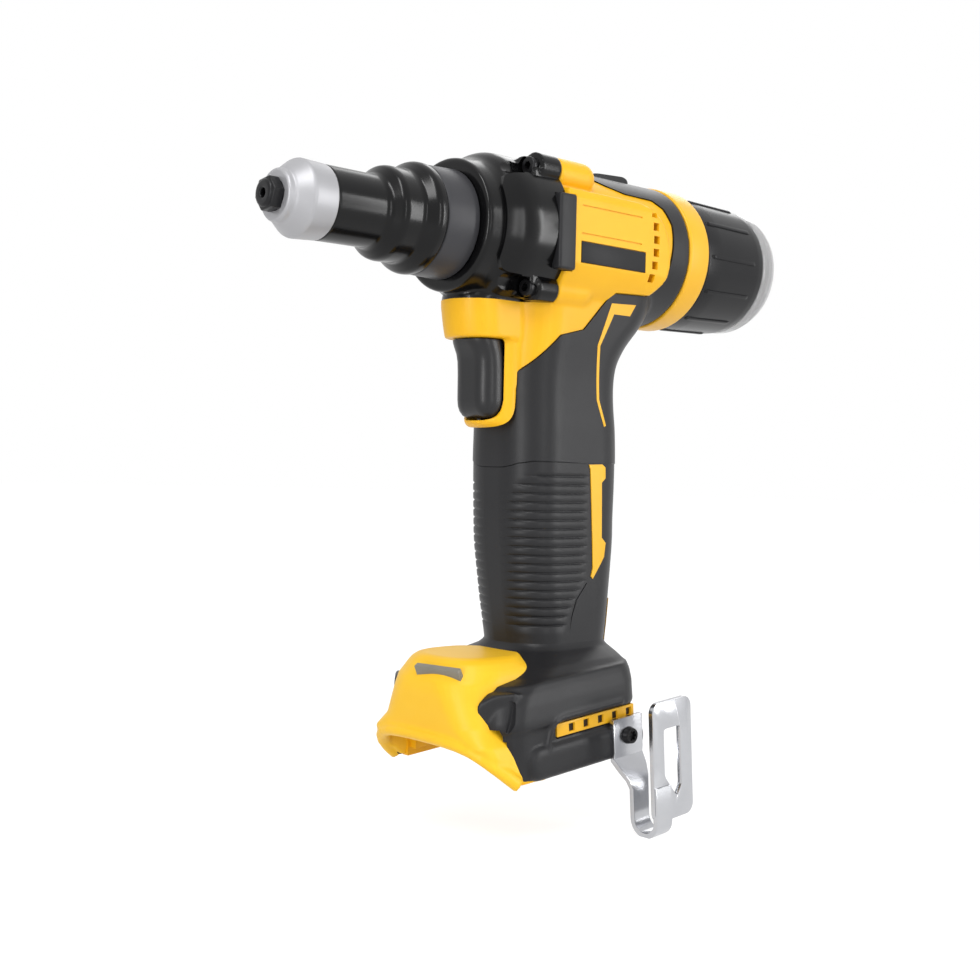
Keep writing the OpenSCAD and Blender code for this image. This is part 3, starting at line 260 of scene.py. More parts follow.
def prism(outline, y0, y1, edge=0, segments=2):
    # a side-view outline of [x, z], extruded across from y0 to y1
    bm = bmesh.new()
    face = bm.faces.new([bm.verts.new((x * mm, y0 * mm, z * mm)) for x, z in outline])
    raised = bmesh.ops.extrude_face_region(bm, geom=[face])["geom"]
    top = [v for v in raised if isinstance(v, bmesh.types.BMVert)]
    bmesh.ops.translate(bm, vec=(0, (y1 - y0) * mm, 0), verts=top)
    outwards(bm)
    if edge:
        roundEdges(bm, bm.edges[:], edge, segments)
    return bm


def sidePrism(side, outline, y0, y1, edge=0):
    # a prism on one side of the tool, given for the left side
    return prism(outline, *sorted((side * y0, side * y1)), edge)


def rod(x0, x1, y, z, r, sides=32, backR=None):
    # a rod along the barrel from x0 back to x1, a cone if backR is given
    bm = bmesh.new()
    bmesh.ops.create_cone(bm, cap_ends=True, segments=sides, radius1=r * mm, radius2=(backR or r) * mm,
                          depth=abs(x1 - x0) * mm)
    middle = Matrix.Translation(((x0 + x1) / 2 * mm, y * mm, z * mm))
    return placed(bm, middle @ Matrix.Rotation(-pi / 2, 4, "Y"))


def ball(x, y, z, r):
    bm = bmesh.new()
    bmesh.ops.create_uvsphere(bm, u_segments=32, v_segments=20, radius=r * mm)
    return moved(bm, x, y, z)


def joined(*parts):
    # one bmesh from several
    mesh = bpy.data.meshes.new("joining")
    whole = bmesh.new()
    for part in parts:
        part.to_mesh(mesh)
        whole.from_mesh(mesh)
        part.free()
    bpy.data.meshes.remove(mesh)
    return whole


def roundedRing(half, width, corner, straight=8, arc=10):
    # points of a rounded rectangle, always in the same order
    corner = min(corner, half - 0.01, width - 0.01)
    quarter = [(half, (width - corner) * k / straight) for k in range(1, straight)]
    quarter += [(half - corner + corner * cos(a), width - corner + corner * sin(a))
                for a in [pi / 2 * k / arc for k in range(arc)]]
    quarter += [((half - corner) * (1 - k / straight), width) for k in range(straight)]
    upper = [(half, 0)] + quarter + [(0, width)] + [(-x, y) for x, y in reversed(quarter)]
    return upper + [(-x, -y) for x, y in upper]


def levelRing(centre, z, half, width, corner, sink=None):
    # a level section, its middle at x = centre; sink moves its points
    points = roundedRing(half, width, corner)
    if sink:
        points = [sink(x, y) for x, y in points]
    return [Vector(((centre + x) * mm, y * mm, z * mm)) for x, y in points]


def circle(count):
    return [tau * k / count for k in range(count)]


def direction(path, i):
    # of a path at its point i
    after, before = path[min(i + 1, len(path) - 1)], path[max(i - 1, 0)]
    return (Vector(after) - Vector(before)).normalized()


def loft(rings):
    # a closed tube through rings of points in metres, all of one count, capped at both ends
    bm = bmesh.new()
    verts = bmesh.ops.create_circle(bm, segments=len(rings[0]), radius=1)["verts"]
    for v, p in zip(verts, rings[0]):
        v.co = p
    edges = bm.edges[:]
    bmesh.ops.edgeloop_fill(bm, edges=edges)
    for ring in rings[1:]:
        made = bmesh.ops.extrude_edge_only(bm, edges=edges)["geom"]
        fresh = {v for v in made if isinstance(v, bmesh.types.BMVert)}
        step = []
        for old, p in zip(verts, ring):
            new = next(e.other_vert(old) for e in old.link_edges if e.other_vert(old) in fresh)
            new.co = p
            step.append(new)
        verts = step
        edges = [e for e in made if isinstance(e, bmesh.types.BMEdge) and all(v in fresh for v in e.verts)]
    bmesh.ops.edgeloop_fill(bm, edges=edges)
    return outwards(bm)


def addObject(name, data):
    obj = bpy.data.objects.new(name, data)
    scene.collection.objects.link(obj)
    return obj


def makeObject(bm, name):
    mesh = bpy.data.meshes.new(name)
    bm.to_mesh(mesh)
    bm.free()
    return addObject(name, mesh)


def released(obj):
    # the object's mesh as a bmesh again, the object gone
    bm = bmesh.new()
    bm.from_mesh(obj.data)
    bpy.data.objects.remove(obj)
    return bm


def settle(obj):
    # modifiers become mesh
    bpy.context.view_layer.update()
    graph = bpy.context.evaluated_depsgraph_get()
    done = bpy.data.meshes.new_from_object(obj.evaluated_get(graph))
    obj.modifiers.clear()
    old = obj.data
    obj.data = done
    bpy.data.meshes.remove(old)
    return obj


def carve(obj, *shapes, mode="DIFFERENCE"):
    for bm in shapes:
        tool = makeObject(bm, "carvingTool")
        cut = obj.modifiers.new("carve", "BOOLEAN")
        cut.operation = mode
        cut.object = tool
        cut.solver = "MANIFOLD"
        settle(obj)
        bpy.data.objects.remove(tool)
    return obj


def fused(bm, name, voxel, rounds):
    # overlapping solids become one skin with soft fillets, as in a casting
    obj = makeObject(bm, name)
    skin = obj.modifiers.new("skin", "REMESH")
    skin.mode = "VOXEL"
    skin.voxel_size = voxel * mm
    skin.use_smooth_shade = True
    calm = obj.modifiers.new("calm", "SMOOTH")
    calm.factor = 0.5
    calm.iterations = rounds
    return settle(obj)


madePieces = []


def finish(obj, look, slotName, *nodes, body="tool", angle=35):
    # smooth faces with sharp edges where the surface turns by more than angle
    obj.data.shade_smooth()
    obj.data.set_sharp_from_angle(angle=radians(angle))
    obj.data.materials.clear()
    obj.data.materials.append(looks[look])
    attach(obj, body)
    if nodes:
        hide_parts(*nodes)
    madePieces.append(obj)


# the foot's own frame: x along the battery slot, tilted down towards the front
foot = {"x": -94.4, "drop": 211, "tilt": 4.6}
footTilt = radians(foot["tilt"])
footPlace = Matrix.Translation((foot["x"] * mm, 0, -foot["drop"] * mm)) @ Matrix.Rotation(footTilt, 4, "Y")


def footPoint(x, y, z):
    # a point of the foot's frame, to the scene's frame in metres
    ahead = foot["x"] + x * cos(footTilt) + z * sin(footTilt)
    up = -foot["drop"] - x * sin(footTilt) + z * cos(footTilt)
    return Vector((ahead * mm, y * mm, up * mm))


def footRing(centre, z, half, width, corner):
    return [footPoint(centre + x, y, z) for x, y in roundedRing(half, width, corner)]


def atFoot(bm):
    # a shape built in the foot's frame goes to its place
    return placed(bm, footPlace)


# camera, lights and floor
camera = {"place": (257.54, 396.9, -90.1), "right": (-0.7348006, 0.6779049, 0.0226514),
          "up": (0.0025452, -0.0306392, 0.9995273), "back": (0.6782785, 0.7345108, 0.0207883),
          "lens": 50, "sensor": 36.0}
camData = bpy.data.cameras.new("camera")
camData.lens = camera["lens"]
camData.sensor_width = camera["sensor"]
cam = addObject("camera", camData)
rows = [[camera[axis][i] for axis in ("right", "up", "back")] + [camera["place"][i] * mm] for i in range(3)]
cam.matrix_world = Matrix(rows + [[0, 0, 0, 1]])
scene.camera = cam
scene.view_settings.view_transform = "Standard"

lights = [
    # name, place and what it looks at in metres, width, height, watts
    ("keySoftbox", (0.45, 0.5, 0.95), (-0.1, 0, -0.06), 0.24, 0.9, 8),
    ("sideStrip", (-0.86, 0.98, 0.1), (-0.12, 0, -0.06), 0.13, 0.8, 5.2),
    ("cornerStrip", (0.04, 1.2, 0.02), (-0.12, 0, -0.1), 0.12, 1, 2.6),
    ("backRim", (-1, -0.55, 0.7), (-0.12, 0, -0.05), 0.5, 0.7, 1.8),
    ("frontFill", (1, 0.42, -0.05), (-0.05, 0, -0.08), 0.12, 0.8, 6),
]
for name, place, aim, width, height, watts in lights:
    data = bpy.data.lights.new(name, "AREA")
    data.shape = "RECTANGLE"
    data.size = width
    data.size_y = height
    data.energy = watts
    turn = (Vector(place) - Vector(aim)).to_track_quat("Z", "Y").to_matrix().to_4x4()
    addObject(name, data).matrix_world = Matrix.Translation(place) @ turn


def seenBy(tree, *rays):
    # 1 for the rays that are named, 0 for all others
    path = addNode(tree, "ShaderNodeLightPath")
    seen = path.outputs[rays[0]]
    for ray in rays[1:]:
        links = {0: seen, 1: path.outputs[ray]}
        seen = addNode(tree, "ShaderNodeMath", {"operation": "MAXIMUM"}, links).outputs[0]
    return seen


studio = {"light": 0.5, "paper": "EDEDED", "faint": 0.32, "glow": 0.85, "floorRadius": 6, "gap": 0.3}
white = (1, 1, 1, 1)

world = bpy.data.worlds.new("paleStudio")
scene.world = world
world.use_nodes = True
tree = world.node_tree
seen = seenBy(tree, "Is Camera Ray", "Is Glossy Ray", "Is Transmission Ray")
soft = addNode(tree, "ShaderNodeBackground", {"Color": white, "Strength": studio["light"]})
full = addNode(tree, "ShaderNodeBackground", {"Color": white, "Strength": 1.0})
mixed = addNode(tree, "ShaderNodeMixShader", None, {0: seen, 1: soft.outputs[0], 2: full.outputs[0]})
tree.links.new(mixed.outputs[0], tree.nodes["World Output"].inputs["Surface"])

floorMat = bpy.data.materials.new("paleFloor")  # matt white paper sweep, keeps only the tool's shadow
floorMat.use_nodes = True
tree = floorMat.node_tree
tree.nodes.remove(tree.nodes["Principled BSDF"])
paper = addNode(tree, "ShaderNodeBsdfDiffuse", {"Color": toLinear(studio["paper"])})
faint = addNode(tree, "ShaderNodeBsdfDiffuse", {"Color": [studio["faint"]] * 3 + [1]})
glow = addNode(tree, "ShaderNodeEmission", {"Color": white, "Strength": studio["glow"]})
lit = addNode(tree, "ShaderNodeAddShader", None, {0: faint.outputs[0], 1: glow.outputs[0]})
seen = seenBy(tree, "Is Camera Ray", "Is Glossy Ray")
mixed = addNode(tree, "ShaderNodeMixShader", None, {0: seen, 1: paper.outputs[0], 2: lit.outputs[0]})
tree.links.new(mixed.outputs[0], tree.nodes["Material Output"].inputs["Surface"])
bm = bmesh.new()
bmesh.ops.create_circle(bm, cap_ends=True, segments=96, radius=studio["floorRadius"])
bmesh.ops.translate(bm, vec=(0, 0, cadBounds[0][2] - studio["gap"] * mm), verts=bm.verts[:])
floor = makeObject(bm, "paleFloor")
floor.data.materials.append(floorMat)
print("camera, lights and floor set")

# nose: profiles as [x, r]
nose = {
    "flats": 11, "hexLong": 4.4, "hexMiddle": -3.2, "hexTurn": 8, "hexEdge": 0.6, "hole": 1.65,
    "boss": [(-1.5, 1.65), (-0.35, 1.65), (0, 2.1), (0, 3.9), (-0.35, 4.7), (-1.6, 5.2), (-1.6, 1.65)],
    "cone": [(-5.2, 5.6), (-4.9, 8.6), (-5.6, 9.3), (-7.3, 9.5), (-8, 10.2), (-12.4, 13.6), (-13.4, 14),
             (-22.9, 13.5), (-22.9, 12.4)],
    "mouth": [(-0.9, 1.66), (-0.7, 1.66), (-0.25, 2.2), (-0.25, 2.7), (-0.9, 2.7)],
    "tube": [(-22.95, 12), (-22.95, 13.2), (-23.6, 13.45), (-44.5, 13.35), (-46.2, 14), (-49, 17),
             (-51, 17.5), (-57.5, 17.3), (-59, 17.6), (-62, 20.3), (-63.6, 20.9), (-66.8, 20.8),
             (-66.8, 12)],
    "sleeve": [(-66.9, 14), (-66.9, 20), (-67.4, 20.5), (-81.3, 21), (-81.9, 20.6), (-81.9, 14)],
}

bm = bmesh.new()  # chamfered hexagon, with a neck behind and a round boss in front
radius = nose["flats"] / sqrt(3) * mm
bmesh.ops.create_cone(bm, cap_ends=True, segments=6, radius1=radius, radius2=radius,
                      depth=nose["hexLong"] * mm)
placed(bm, Matrix.Translation((nose["hexMiddle"] * mm, 0, 0)) @ Matrix.Rotation(pi / 2, 4, "Y")
       @ Matrix.Rotation(radians(nose["hexTurn"]), 4, "Z"))
roundEdges(bm, bm.edges[:], nose["hexEdge"])
boss = turned(rounded(nose["boss"], 0.3, 3), 48)
piece = makeObject(joined(bm, drum(-5, -1.2, 5.2, 48)), "nosepieceHex")
carve(piece, drum(1, -9, nose["hole"], 32))
piece = makeObject(joined(released(piece), boss), "nosepieceHex")
finish(piece, "blackOxideSteel", "blackened_steel", "nosepiece")

cone = turnedRing(nose["cone"], 0.45, 5)
finish(makeObject(cone, "noseCone"), "mattNickelTurned", "satin_nickel", "nose_cone", angle=50)
mouth = turnedRing(nose["mouth"], 0.1, 2, 48)  # lip where the mandrel goes in
finish(makeObject(mouth, "mandrelMouth"), "groundSteel", "ground_steel")
tube = turnedRing(nose["tube"], 1.2, 6, 128)
finish(makeObject(tube, "noseTube"), "lacqueredNylonBlack", "gloss_black", "nose_housing", angle=60)
sleeve = turnedRing(nose["sleeve"], 0.4, 3, 128)
finish(makeObject(sleeve, "lockSleeve"), "phosphatedSleeve", "satin_grey", "lock_collar", angle=50)
print("nose made")

# gear housing: profiles as [x, r]
gear = {
    "back": -118, "low": -27.9, "bossY": 21.6, "bossZ": 23.2,
    "body": [(-82, 0), (-82, 24.2), (-82.9, 25.4), (-86.2, 25.7), (-89.4, 26), (-92.4, 27),
             (-95, 28.9), (-97.4, 29.9), (-100, 30), (-118, 30), (-118, 0)],
    # front, back, share of the way out, front and back radius; the last two are fairings
    "bosses": [(-107.6, -118, 1, 5.6, 5.6), (-95, -112, 0.78, 3, 8), (-104, -118, 0.86, 7.2, 7.2)],
    # height and growth of the sections of the skirt that stands on the chin
    "skirt": [(-31, 0), (-26.6, 0), (-25.4, -0.5), (-23.6, -2.6), (-21.4, -5.2), (-18.6, -7.4),
              (-12, -9.4)],
    # the shields on both sides: outline as [x, z], and the skin that bounds them
    "shield": [(-89.4, -14), (-89.4, 13), (-92, 17.4), (-97.6, 19.6), (-118, 19.6), (-118, -19.6),
               (-97.6, -19.6), (-92, -17.6)],
    "skin": [(-80, 0), (-80, 26.6), (-88, 26.9), (-92, 28.4), (-97, 30.9), (-102, 31.8), (-120, 32.3),
             (-120, 0)],
    # room inside for the keys, the screw, the nut, the carrier and the ring gear, from front to back
    "room": [(-80, 0), (-80, 13.8), (-84.5, 13.8), (-84.5, 7.4), (-86.4, 7.4), (-86.4, 16.2),
             (-108.4, 16.2), (-108.4, 20.6), (-110.4, 20.6), (-110.4, 26.3), (-119, 26.3), (-119, 0)],
    "head": [(-104.6, 0), (-104.6, 3.1), (-105.1, 3.5), (-110.2, 3.5), (-110.2, 0)],
    "seat": -107.4, "channelR": 4, "socketR": 1.75, "socketEnd": -107.6,
}
bumperSeat = (-121.2, 28.6, -16.2), (-111.8, 40, 13.2)  # corners of the room for a bumper, left side
corners = [(side, up) for side in (1, -1) for up in (1, -1)]  # the four bosses
bossY, bossZ = gear["bossY"], gear["bossZ"]

parts = [turned(rounded(gear["body"], 1, 4))]
for side, up in corners:
    for x0, x1, share, r0, r1 in gear["bosses"]:
        parts.append(rod(x0, x1, side * bossY * share, up * bossZ * share, r0, backR=r1))
parts.append(loft([levelRing(-108, z, 22 + grow, 13.8 + grow * 0.4, 13.6 + grow * 0.4)
                   for z, grow in gear["skirt"]]))
piece = fused(joined(*parts), "gearHousingCore", 0.55, 6)
carve(piece, block((-130, -far, -far), (-60, far, gear["low"])))
plates = fused(prism(gear["shield"], -32, 32), "gearShield", 0.6, 7)
carve(plates, turned(rounded(gear["skin"], 2.5, 6)), mode="INTERSECT")
carve(piece, released(plates), mode="UNION")
for side, up in corners:  # channel for the driver, and three shallow steps that lead it in
    carve(piece, rod(-80, gear["seat"], side * bossY, up * bossZ, gear["channelR"]))
    for k in range(3):
        y, z = side * (bossY + 0.9), up * (bossZ + 0.9)
        carve(piece, rod(-94, -103.4 + 1.6 * k, y, z, 4.5 + 0.5 * k))
for side in (1, -1):
    carve(piece, sideBlock(side, *bumperSeat))
carve(piece, block((-130, -far, -far), (gear["back"], far, far)), turned(gear["room"], 64))
finish(piece, "lacqueredNylonBlack", "gloss_black", "gear_housing", angle=40)

screws = []  # socket-head screws in the four bosses
for side, up in corners:
    screws.append(moved(turned(rounded(gear["head"], 0.4, 3), 32), 0, side * bossY, up * bossZ))
piece = makeObject(joined(*screws), "housingScrews")
for side, up in corners:
    carve(piece, rod(-104, gear["socketEnd"], side * bossY, up * bossZ, gear["socketR"], 6))
finish(piece, "blackOxideSteel", "blackened_steel", "housing_screws", angle=30)
print("gear housing made")

# handle form, shared by the clamshell, the soft grip and the trim
handle = {
    # height, centre, half depth, half width, corner radius
    "sections": [
        (-14, -147.5, 39.5, 25, 20), (-22, -146.8, 39, 24.6, 19.5), (-28, -145.6, 37.4, 24, 18.5),
        (-34, -143.6, 34.8, 23.4, 18), (-41, -140.6, 31.4, 22.6, 17.5), (-49, -138.2, 29.2, 21.6, 17),
        (-57, -137.8, 28.4, 20.9, 16.5), (-66, -138.2, 28.6, 20.6, 16.5), (-76, -138.9, 29, 20.8, 16.5),
        (-88, -139.1, 29.2, 21, 16.5), (-100, -139.2, 29.2, 20.9, 16.5), (-112, -139.3, 29, 20.7, 16.5),
        (-122, -139.6, 28.6, 20.5, 16), (-134, -140.1, 27.7, 20.1, 16), (-146, -140.6, 26.6, 19.7, 16),
        (-156, -141.1, 25.2, 19.3, 15.5), (-163, -141.3, 24.3, 19.1, 15.5),
    ],
    # side-view outline of the soft overmould, from the trigger guard round to the rear band
    "soft": rounded([(-80, -77.6), (-110.4, -77.6), (-110.4, -48)], 13, 10)[1:-1]
    + [(-110.5, -55), (-124, -40), (-136, -37), (-150.5, -21.3), (-172, -20.5), (-177.4, -17.5),
       (-180.8, -11), (-182, 0), (-183, 10), (-181.2, 17), (-176.5, 20.3), (-160, 20.6), (-151, 22.8),
       (-143.5, 25.6), (-138, 29), (-136, 40), (-200, 40), (-200, -260), (-60, -260), (-60, -77.6)],
}


def sectionAt(z):
    # the handle's section at a height, smoothly between the ones above
    sections = handle["sections"]
    for i in range(len(sections) - 1):
        a, b = sections[i], sections[i + 1]
        if b[0] <= z <= a[0]:
            t = (z - a[0]) / (b[0] - a[0])
            before, after = sections[max(i - 1, 0)], sections[min(i + 2, len(sections) - 1)]
            out = []
            for k in range(1, 5):
                m0, m1 = (b[k] - before[k]) / 2, (after[k] - a[k]) / 2
                out.append((2 * t ** 3 - 3 * t ** 2 + 1) * a[k] + (t ** 3 - 2 * t ** 2 + t) * m0
                           + (3 * t ** 2 - 2 * t ** 3) * b[k] + (t ** 3 - t ** 2) * m1)
            return out
    return sections[0][1:] if z > sections[0][0] else sections[-1][1:]


def handleRing(z, grow=0, sink=None):
    centre, half, width, corner = sectionAt(z)
    return levelRing(centre, z, half + grow, width + grow, corner + grow, sink)


def handleLoft(top, bottom, step, grow=0):
    count = max(2, int(abs(top - bottom) / step))
    return loft([handleRing(top + (bottom - top) * k / count, grow) for k in range(count + 1)])


def grownOutline(points, by):
    # each corner of an anticlockwise outline moved outwards by a distance
    out = []
    for i in range(len(points)):
        a, b, c = Vector(points[i - 1]), Vector(points[i]), Vector(points[(i + 1) % len(points)])
        n1 = Vector(((b - a).y, -(b - a).x)).normalized()
        n2 = Vector(((c - b).y, -(c - b).x)).normalized()
        lift = (n1 + n2).normalized()
        out.append(tuple(b + lift * by / max(0.35, lift.dot(n1))))
    return out


# the trigger's room: height and half width of its sections, and a side view of its end
pocket = {
    "centre": -90.5, "half": 30.5, "side": 10.9,
    "trough": [(-42.3, 10.9), (-66, 10.9), (-68.4, 10.6), (-70.4, 9.9), (-72.2, 8.8), (-73.3, 7.2),
               (-74, 5)],
    "end": rounded([(-104.6, -60), (-104.6, -74), (-60, -74)], 7.5, 8) + [(-60, -60)],
}
switchRoom = (-158, -9.5, -75), (-121, 9.5, -20)  # corners


def carvePocket(obj):
    # the room for the trigger: straight above, with rounded inner corners at the guard
    trough = [levelRing(pocket["centre"], z, pocket["half"], half, 0.6) for z, half in pocket["trough"]]
    carve(obj, loft(trough), prism(pocket["end"], -pocket["side"], pocket["side"]))


# yellow clamshell
shell = {
    "front": -118, "back": -193, "r": 29.5, "boreR": 26.6, "saddle": -27.8,
    # the side panels stand out to panelY and end in an arc at the rear
    "panelY": 32.2, "panelLow": -24.5, "panelHigh": 16, "panelBack": -158, "panelSkinR": 34.6,
    "bossY": 20.6, "bossZ": 22.2, "bossR": 6.6, "bossBack": -133.5,
    # height, half width and front of the chin's sections
    "chin": [(-24, 14, -85.6), (-30, 14.1, -85.8), (-35, 13.9, -86.5), (-40, 13.6, -87.4),
             (-42.3, 13.4, -88)],
    "chinBack": -140,
    # side view of the trigger guard, and the sections that round it below: height and shrinkage
    "guard": rounded([(-104.5, -38), (-104.5, -74.2), (-80, -74.2)], 8, 8)
    + rounded([(-80, -77), (-110.2, -77), (-110.2, -60)], 9.5, 8) + [(-122, -60), (-122, -38)],
    "guardPlan": [(-30, 0), (-73.6, 0), (-75, 0.5), (-76.2, 1.6), (-76.9, 3.2), (-77.1, 4.6)],
    # a row of slots on an arc at the panel's rear
    "vents": 6, "ventTop": 12.3, "ventPitch": 5.25, "ventArc": 45, "ventCentre": -125.3,
}

parts = [drum(shell["front"], shell["back"], shell["r"], 128)]
panel = [(shell["front"], shell["panelLow"]), (shell["front"], shell["panelHigh"]),
         (shell["panelBack"], shell["panelHigh"])]
for k in range(1, 24):
    a = -pi * k / 24
    panel.append((shell["panelBack"] + 20.5 * sin(a), -4.25 + 20.25 * cos(a)))
panel.append((shell["panelBack"], shell["panelLow"]))
form = makeObject(prism(panel, -shell["panelY"], shell["panelY"]), "panelForm")
parts.append(released(carve(form, drum(-110, -190, shell["panelSkinR"], 128), mode="INTERSECT")))
for side, up in corners:
    y, z = side * shell["bossY"], up * shell["bossZ"]
    parts.append(rod(shell["front"], shell["bossBack"], y, z, shell["bossR"]))
    parts.append(ball(shell["bossBack"], y, z, shell["bossR"]))
chin = []
for z, width, front in shell["chin"]:
    half = (front - shell["chinBack"]) / 2
    chin.append(levelRing(front - half, z, half, width, width - 0.2))
parts.append(loft(chin))
form = makeObject(prism(shell["guard"], -13, 13), "guardForm")
plan = [levelRing(-114.4, z, 15.8 - g, 12.7 - g * 0.4, 12.4 - g * 0.4) for z, g in shell["guardPlan"]]
parts.append(released(carve(form, loft(plan), mode="INTERSECT")))
parts.append(handleLoft(-16, -80, 4))
piece = fused(joined(*parts), "yellowClamshell", 0.75, 6)
carve(piece, prism(grownOutline(handle["soft"], 0.25), -far, far))
carvePocket(piece)
carve(piece, block((shell["front"], -far, shell["saddle"]), (-60, far, far)),
      drum(-117, -200, shell["boreR"]), block(*switchRoom))


def panelCut(side, x0, x1, z0, z1, depth):
    # cut into a side panel to a depth below its face
    carve(piece, sideBlock(side, (x0, shell["panelY"] - depth, z0), (x1, 40, z1)))


for side in (1, -1):
    panelCut(side, -121.2, -111.8, -16.2, 13.2, 4.4)  # the bumper's room
    panelCut(side, -162.2, -124.3, -12.5, -3.9, 0.7)  # the dark plate's room
    for z in (9.6, -1.1):  # two thin lines above the plate
        panelCut(side, -159.5, -124.6, z - 0.3, z + 0.3, 0.5)
    for k in range(shell["vents"]):
        z = shell["ventTop"] - shell["ventPitch"] * k
        x = shell["ventCentre"] - sqrt(shell["ventArc"] ** 2 - z * z)
        panelCut(side, x - 0.2, x + 3.2, z - 1.6, z + 1.6, 7)
finish(piece, "sparkedNylonYellow", "body_yellow", "housing_left", "housing_right", angle=38)
print("clamshell made")

# soft overmould: neck and rear band, down to the wavy joint with the ribbed grip
softGrip = ("overmouldedRubber", "grip_charcoal", "grip_left", "grip_right")
neck = {
    "band": [(-130, 20), (-130, 30), (-192.9, 30.2), (-192.9, 20)], "boreR": 28.2, "thick": 0.65,
    "wave": [(-60, -88), (-98, -90.4), (-101, -93.8), (-104.6, -94.6), (-108, -93), (-111.6, -90.2),
             (-115.4, -89.3), (-124, -89.4), (-140, -89.8), (-172, -89.8), (-200, -89.8)],
}
parts = [turnedRing(neck["band"], 0.5, 2, 128), handleLoft(-14, -102, 3, neck["thick"])]
piece = fused(joined(*parts), "softNeck", 0.8, 10)
carve(piece, prism(handle["soft"], -far, far), mode="INTERSECT")
carve(piece, prism(neck["wave"] + [(-200, -140), (-60, -140)], -far, far),
      drum(-110, -200, neck["boreR"], 96), block(*switchRoom))
carvePocket(piece)
finish(piece, *softGrip, angle=42)
print("soft neck made")

# ribbed grip: grooves on both front corners, with a smooth strip between them in front
ribs = {
    "top": -95.2, "count": 18, "pitch": 3.5, "deep": 0.5, "width": 0.9, "skin": 0.35,
    "stripHalf": 7.2, "rear": -142.4, "fade": 1.2,
    "lateRows": 2.4, "lateStep": 4,  # the first rows begin further back
    "leanFrom": -137, "lean": 0.62, "leanMost": 9.5,  # the rows below leanFrom end further forward
    # crease that runs from the end of the trim down to the foot
    "crease": [(-144.3, -138.3), (-138.7, -144.9), (-136.4, -152), (-135.2, -160.8)],
}


def ribMask(x, y, z):
    row = (ribs["top"] - z) / ribs["pitch"]
    start = ribs["stripHalf"] + max(0, ribs["lateRows"] - row) * ribs["lateStep"]
    front = min(1, max(0, (abs(y) - start) / ribs["fade"])) if x > 4 else 1
    rear = ribs["rear"] + min(ribs["leanMost"], max(0, ribs["leanFrom"] - z) * ribs["lean"])
    return front * min(1, max(0, (x + sectionAt(z)[0] - rear) / ribs["fade"]))


def grooved(z, depth):
    def sink(x, y):
        keep = depth * ribMask(x, y, z)
        length = hypot(x, y)
        return x * (1 - keep / length), y * (1 - keep / length)
    return sink


rings = [handleRing(z, ribs["skin"]) for z in (-80, -84, -88, -91, -93.6)]
w = ribs["width"] / 2
for k in range(ribs["count"]):
    z = ribs["top"] - ribs["pitch"] * k
    levels = (z + w + 0.25, z + w - 0.15, z + 0.15, z - 0.15, z - w + 0.15, z - w - 0.25)
    for level, share in zip(levels, (0, 0.55, 1, 1, 0.55, 0)):
        rings.append(handleRing(level, ribs["skin"], grooved(z, ribs["deep"] * share)))
rings += [handleRing(z, ribs["skin"]) for z in (-158.5, -162, -166, -169)]
piece = makeObject(loft(rings), "ribbedGrip")
# a fine joint line in front, and a core behind it
lowWave = [(x, z - 0.45 * min(1, max(0, (x + 141) / 6))) for x, z in neck["wave"][:-1]]
carve(piece, prism(lowWave + [(-200, -86), (-200, -60), (-60, -60)], -far, far))
piece = makeObject(joined(released(piece), handleLoft(-84, -101, 3, -0.9)), "ribbedGrip")
crease = ribs["crease"] + [(x - 0.55, z) for x, z in reversed(ribs["crease"])]
for side in (1, -1):
    carve(piece, sidePrism(side, crease, 19.55, 30))
finish(piece, *softGrip, angle=42)
print("ribbed grip made")

# the foot's soft boot, which comes out of the handle
boot = {
    # centre, height, half depth, half width, corner and lean in degrees
    "shoulder": [
        (-141, -162.4, 24.5, 19.5, 15.5, 0.2), (-140, -164.2, 25, 21.4, 15.5, 0.8),
        (-137.9, -166.1, 26.4, 25.2, 15, 1.6), (-134.9, -168.3, 28.7, 29.2, 14.5, 2.6),
        (-131.2, -170.7, 31.7, 32.4, 14, 3.8),
    ],
    # centre, height, half depth, half width and corner, in the foot's frame
    "sections": [
        (-35.2, 36.5, 35.7, 34.5, 13.5), (-33.4, 33.5, 37.5, 35.8, 13), (-32, 29.5, 38.5, 36.8, 12.4),
        (-31, 24, 38.8, 37.4, 12), (-31, 21.4, 38.9, 37.5, 12), (-31, 20.4, 38.6, 36.9, 12),
        (-31, 19.6, 38.4, 36.2, 12), (-31, 4, 38.4, 36.2, 12), (-31, 1.6, 38.2, 36, 12),
        (-31, 0.7, 37.8, 35.6, 11.6),
    ],
    # reach, half length and half height of the rounded swelling below the vents
    "swell": [(30, 32.6, 6.6), (35.6, 32.6, 6.6), (37, 32.2, 6.2), (37.8, 31.4, 5.4),
              (38.2, 30, 4.2), (38.3, 28.4, 2.8)],
    # cheek beside the hood: side view, two points of its slanted face seen from above, its scoop
    "cheek": [(-98, -177), (-92, -176), (-87, -176.8), (-83.2, -179.6), (-81.4, -182.4),
              (-83.2, -186.2), (-87, -190.2), (-90.4, -195), (-93.4, -200.4), (-95.4, -206.4),
              (-96.4, -210.4), (-103, -209.6), (-103, -177)],
    "facet": [(-82.8, 25.6), (-91, 34.8)],
    "scoop": [(-87, -177.2), (-92.4, -179.4), (-91.2, -187), (-88.6, -192.4)],
    # raised brow over the vents: path as [x, z] in the foot's frame
    "brow": [(-13.5, 8), (-14.6, 13.4), (-16.2, 18.2), (-18.8, 21.2), (-22.6, 22.2), (-34, 22.3),
             (-46, 22.3), (-56.5, 22.3)],
    "browY": 37.2, "browR": 1.1,
    # rooms for the battery, the contacts and the board, and the cuts in front
    "rooms": [((-58, -32.2, -5), (60, 32.2, 22)), ((-57, -26, 17), (-6, 26, 27)),
              ((-3, -24.6, -5), (60, 24.6, 40)), ((-5, -33.2, -5), (60, 33.2, 17.4))],
}

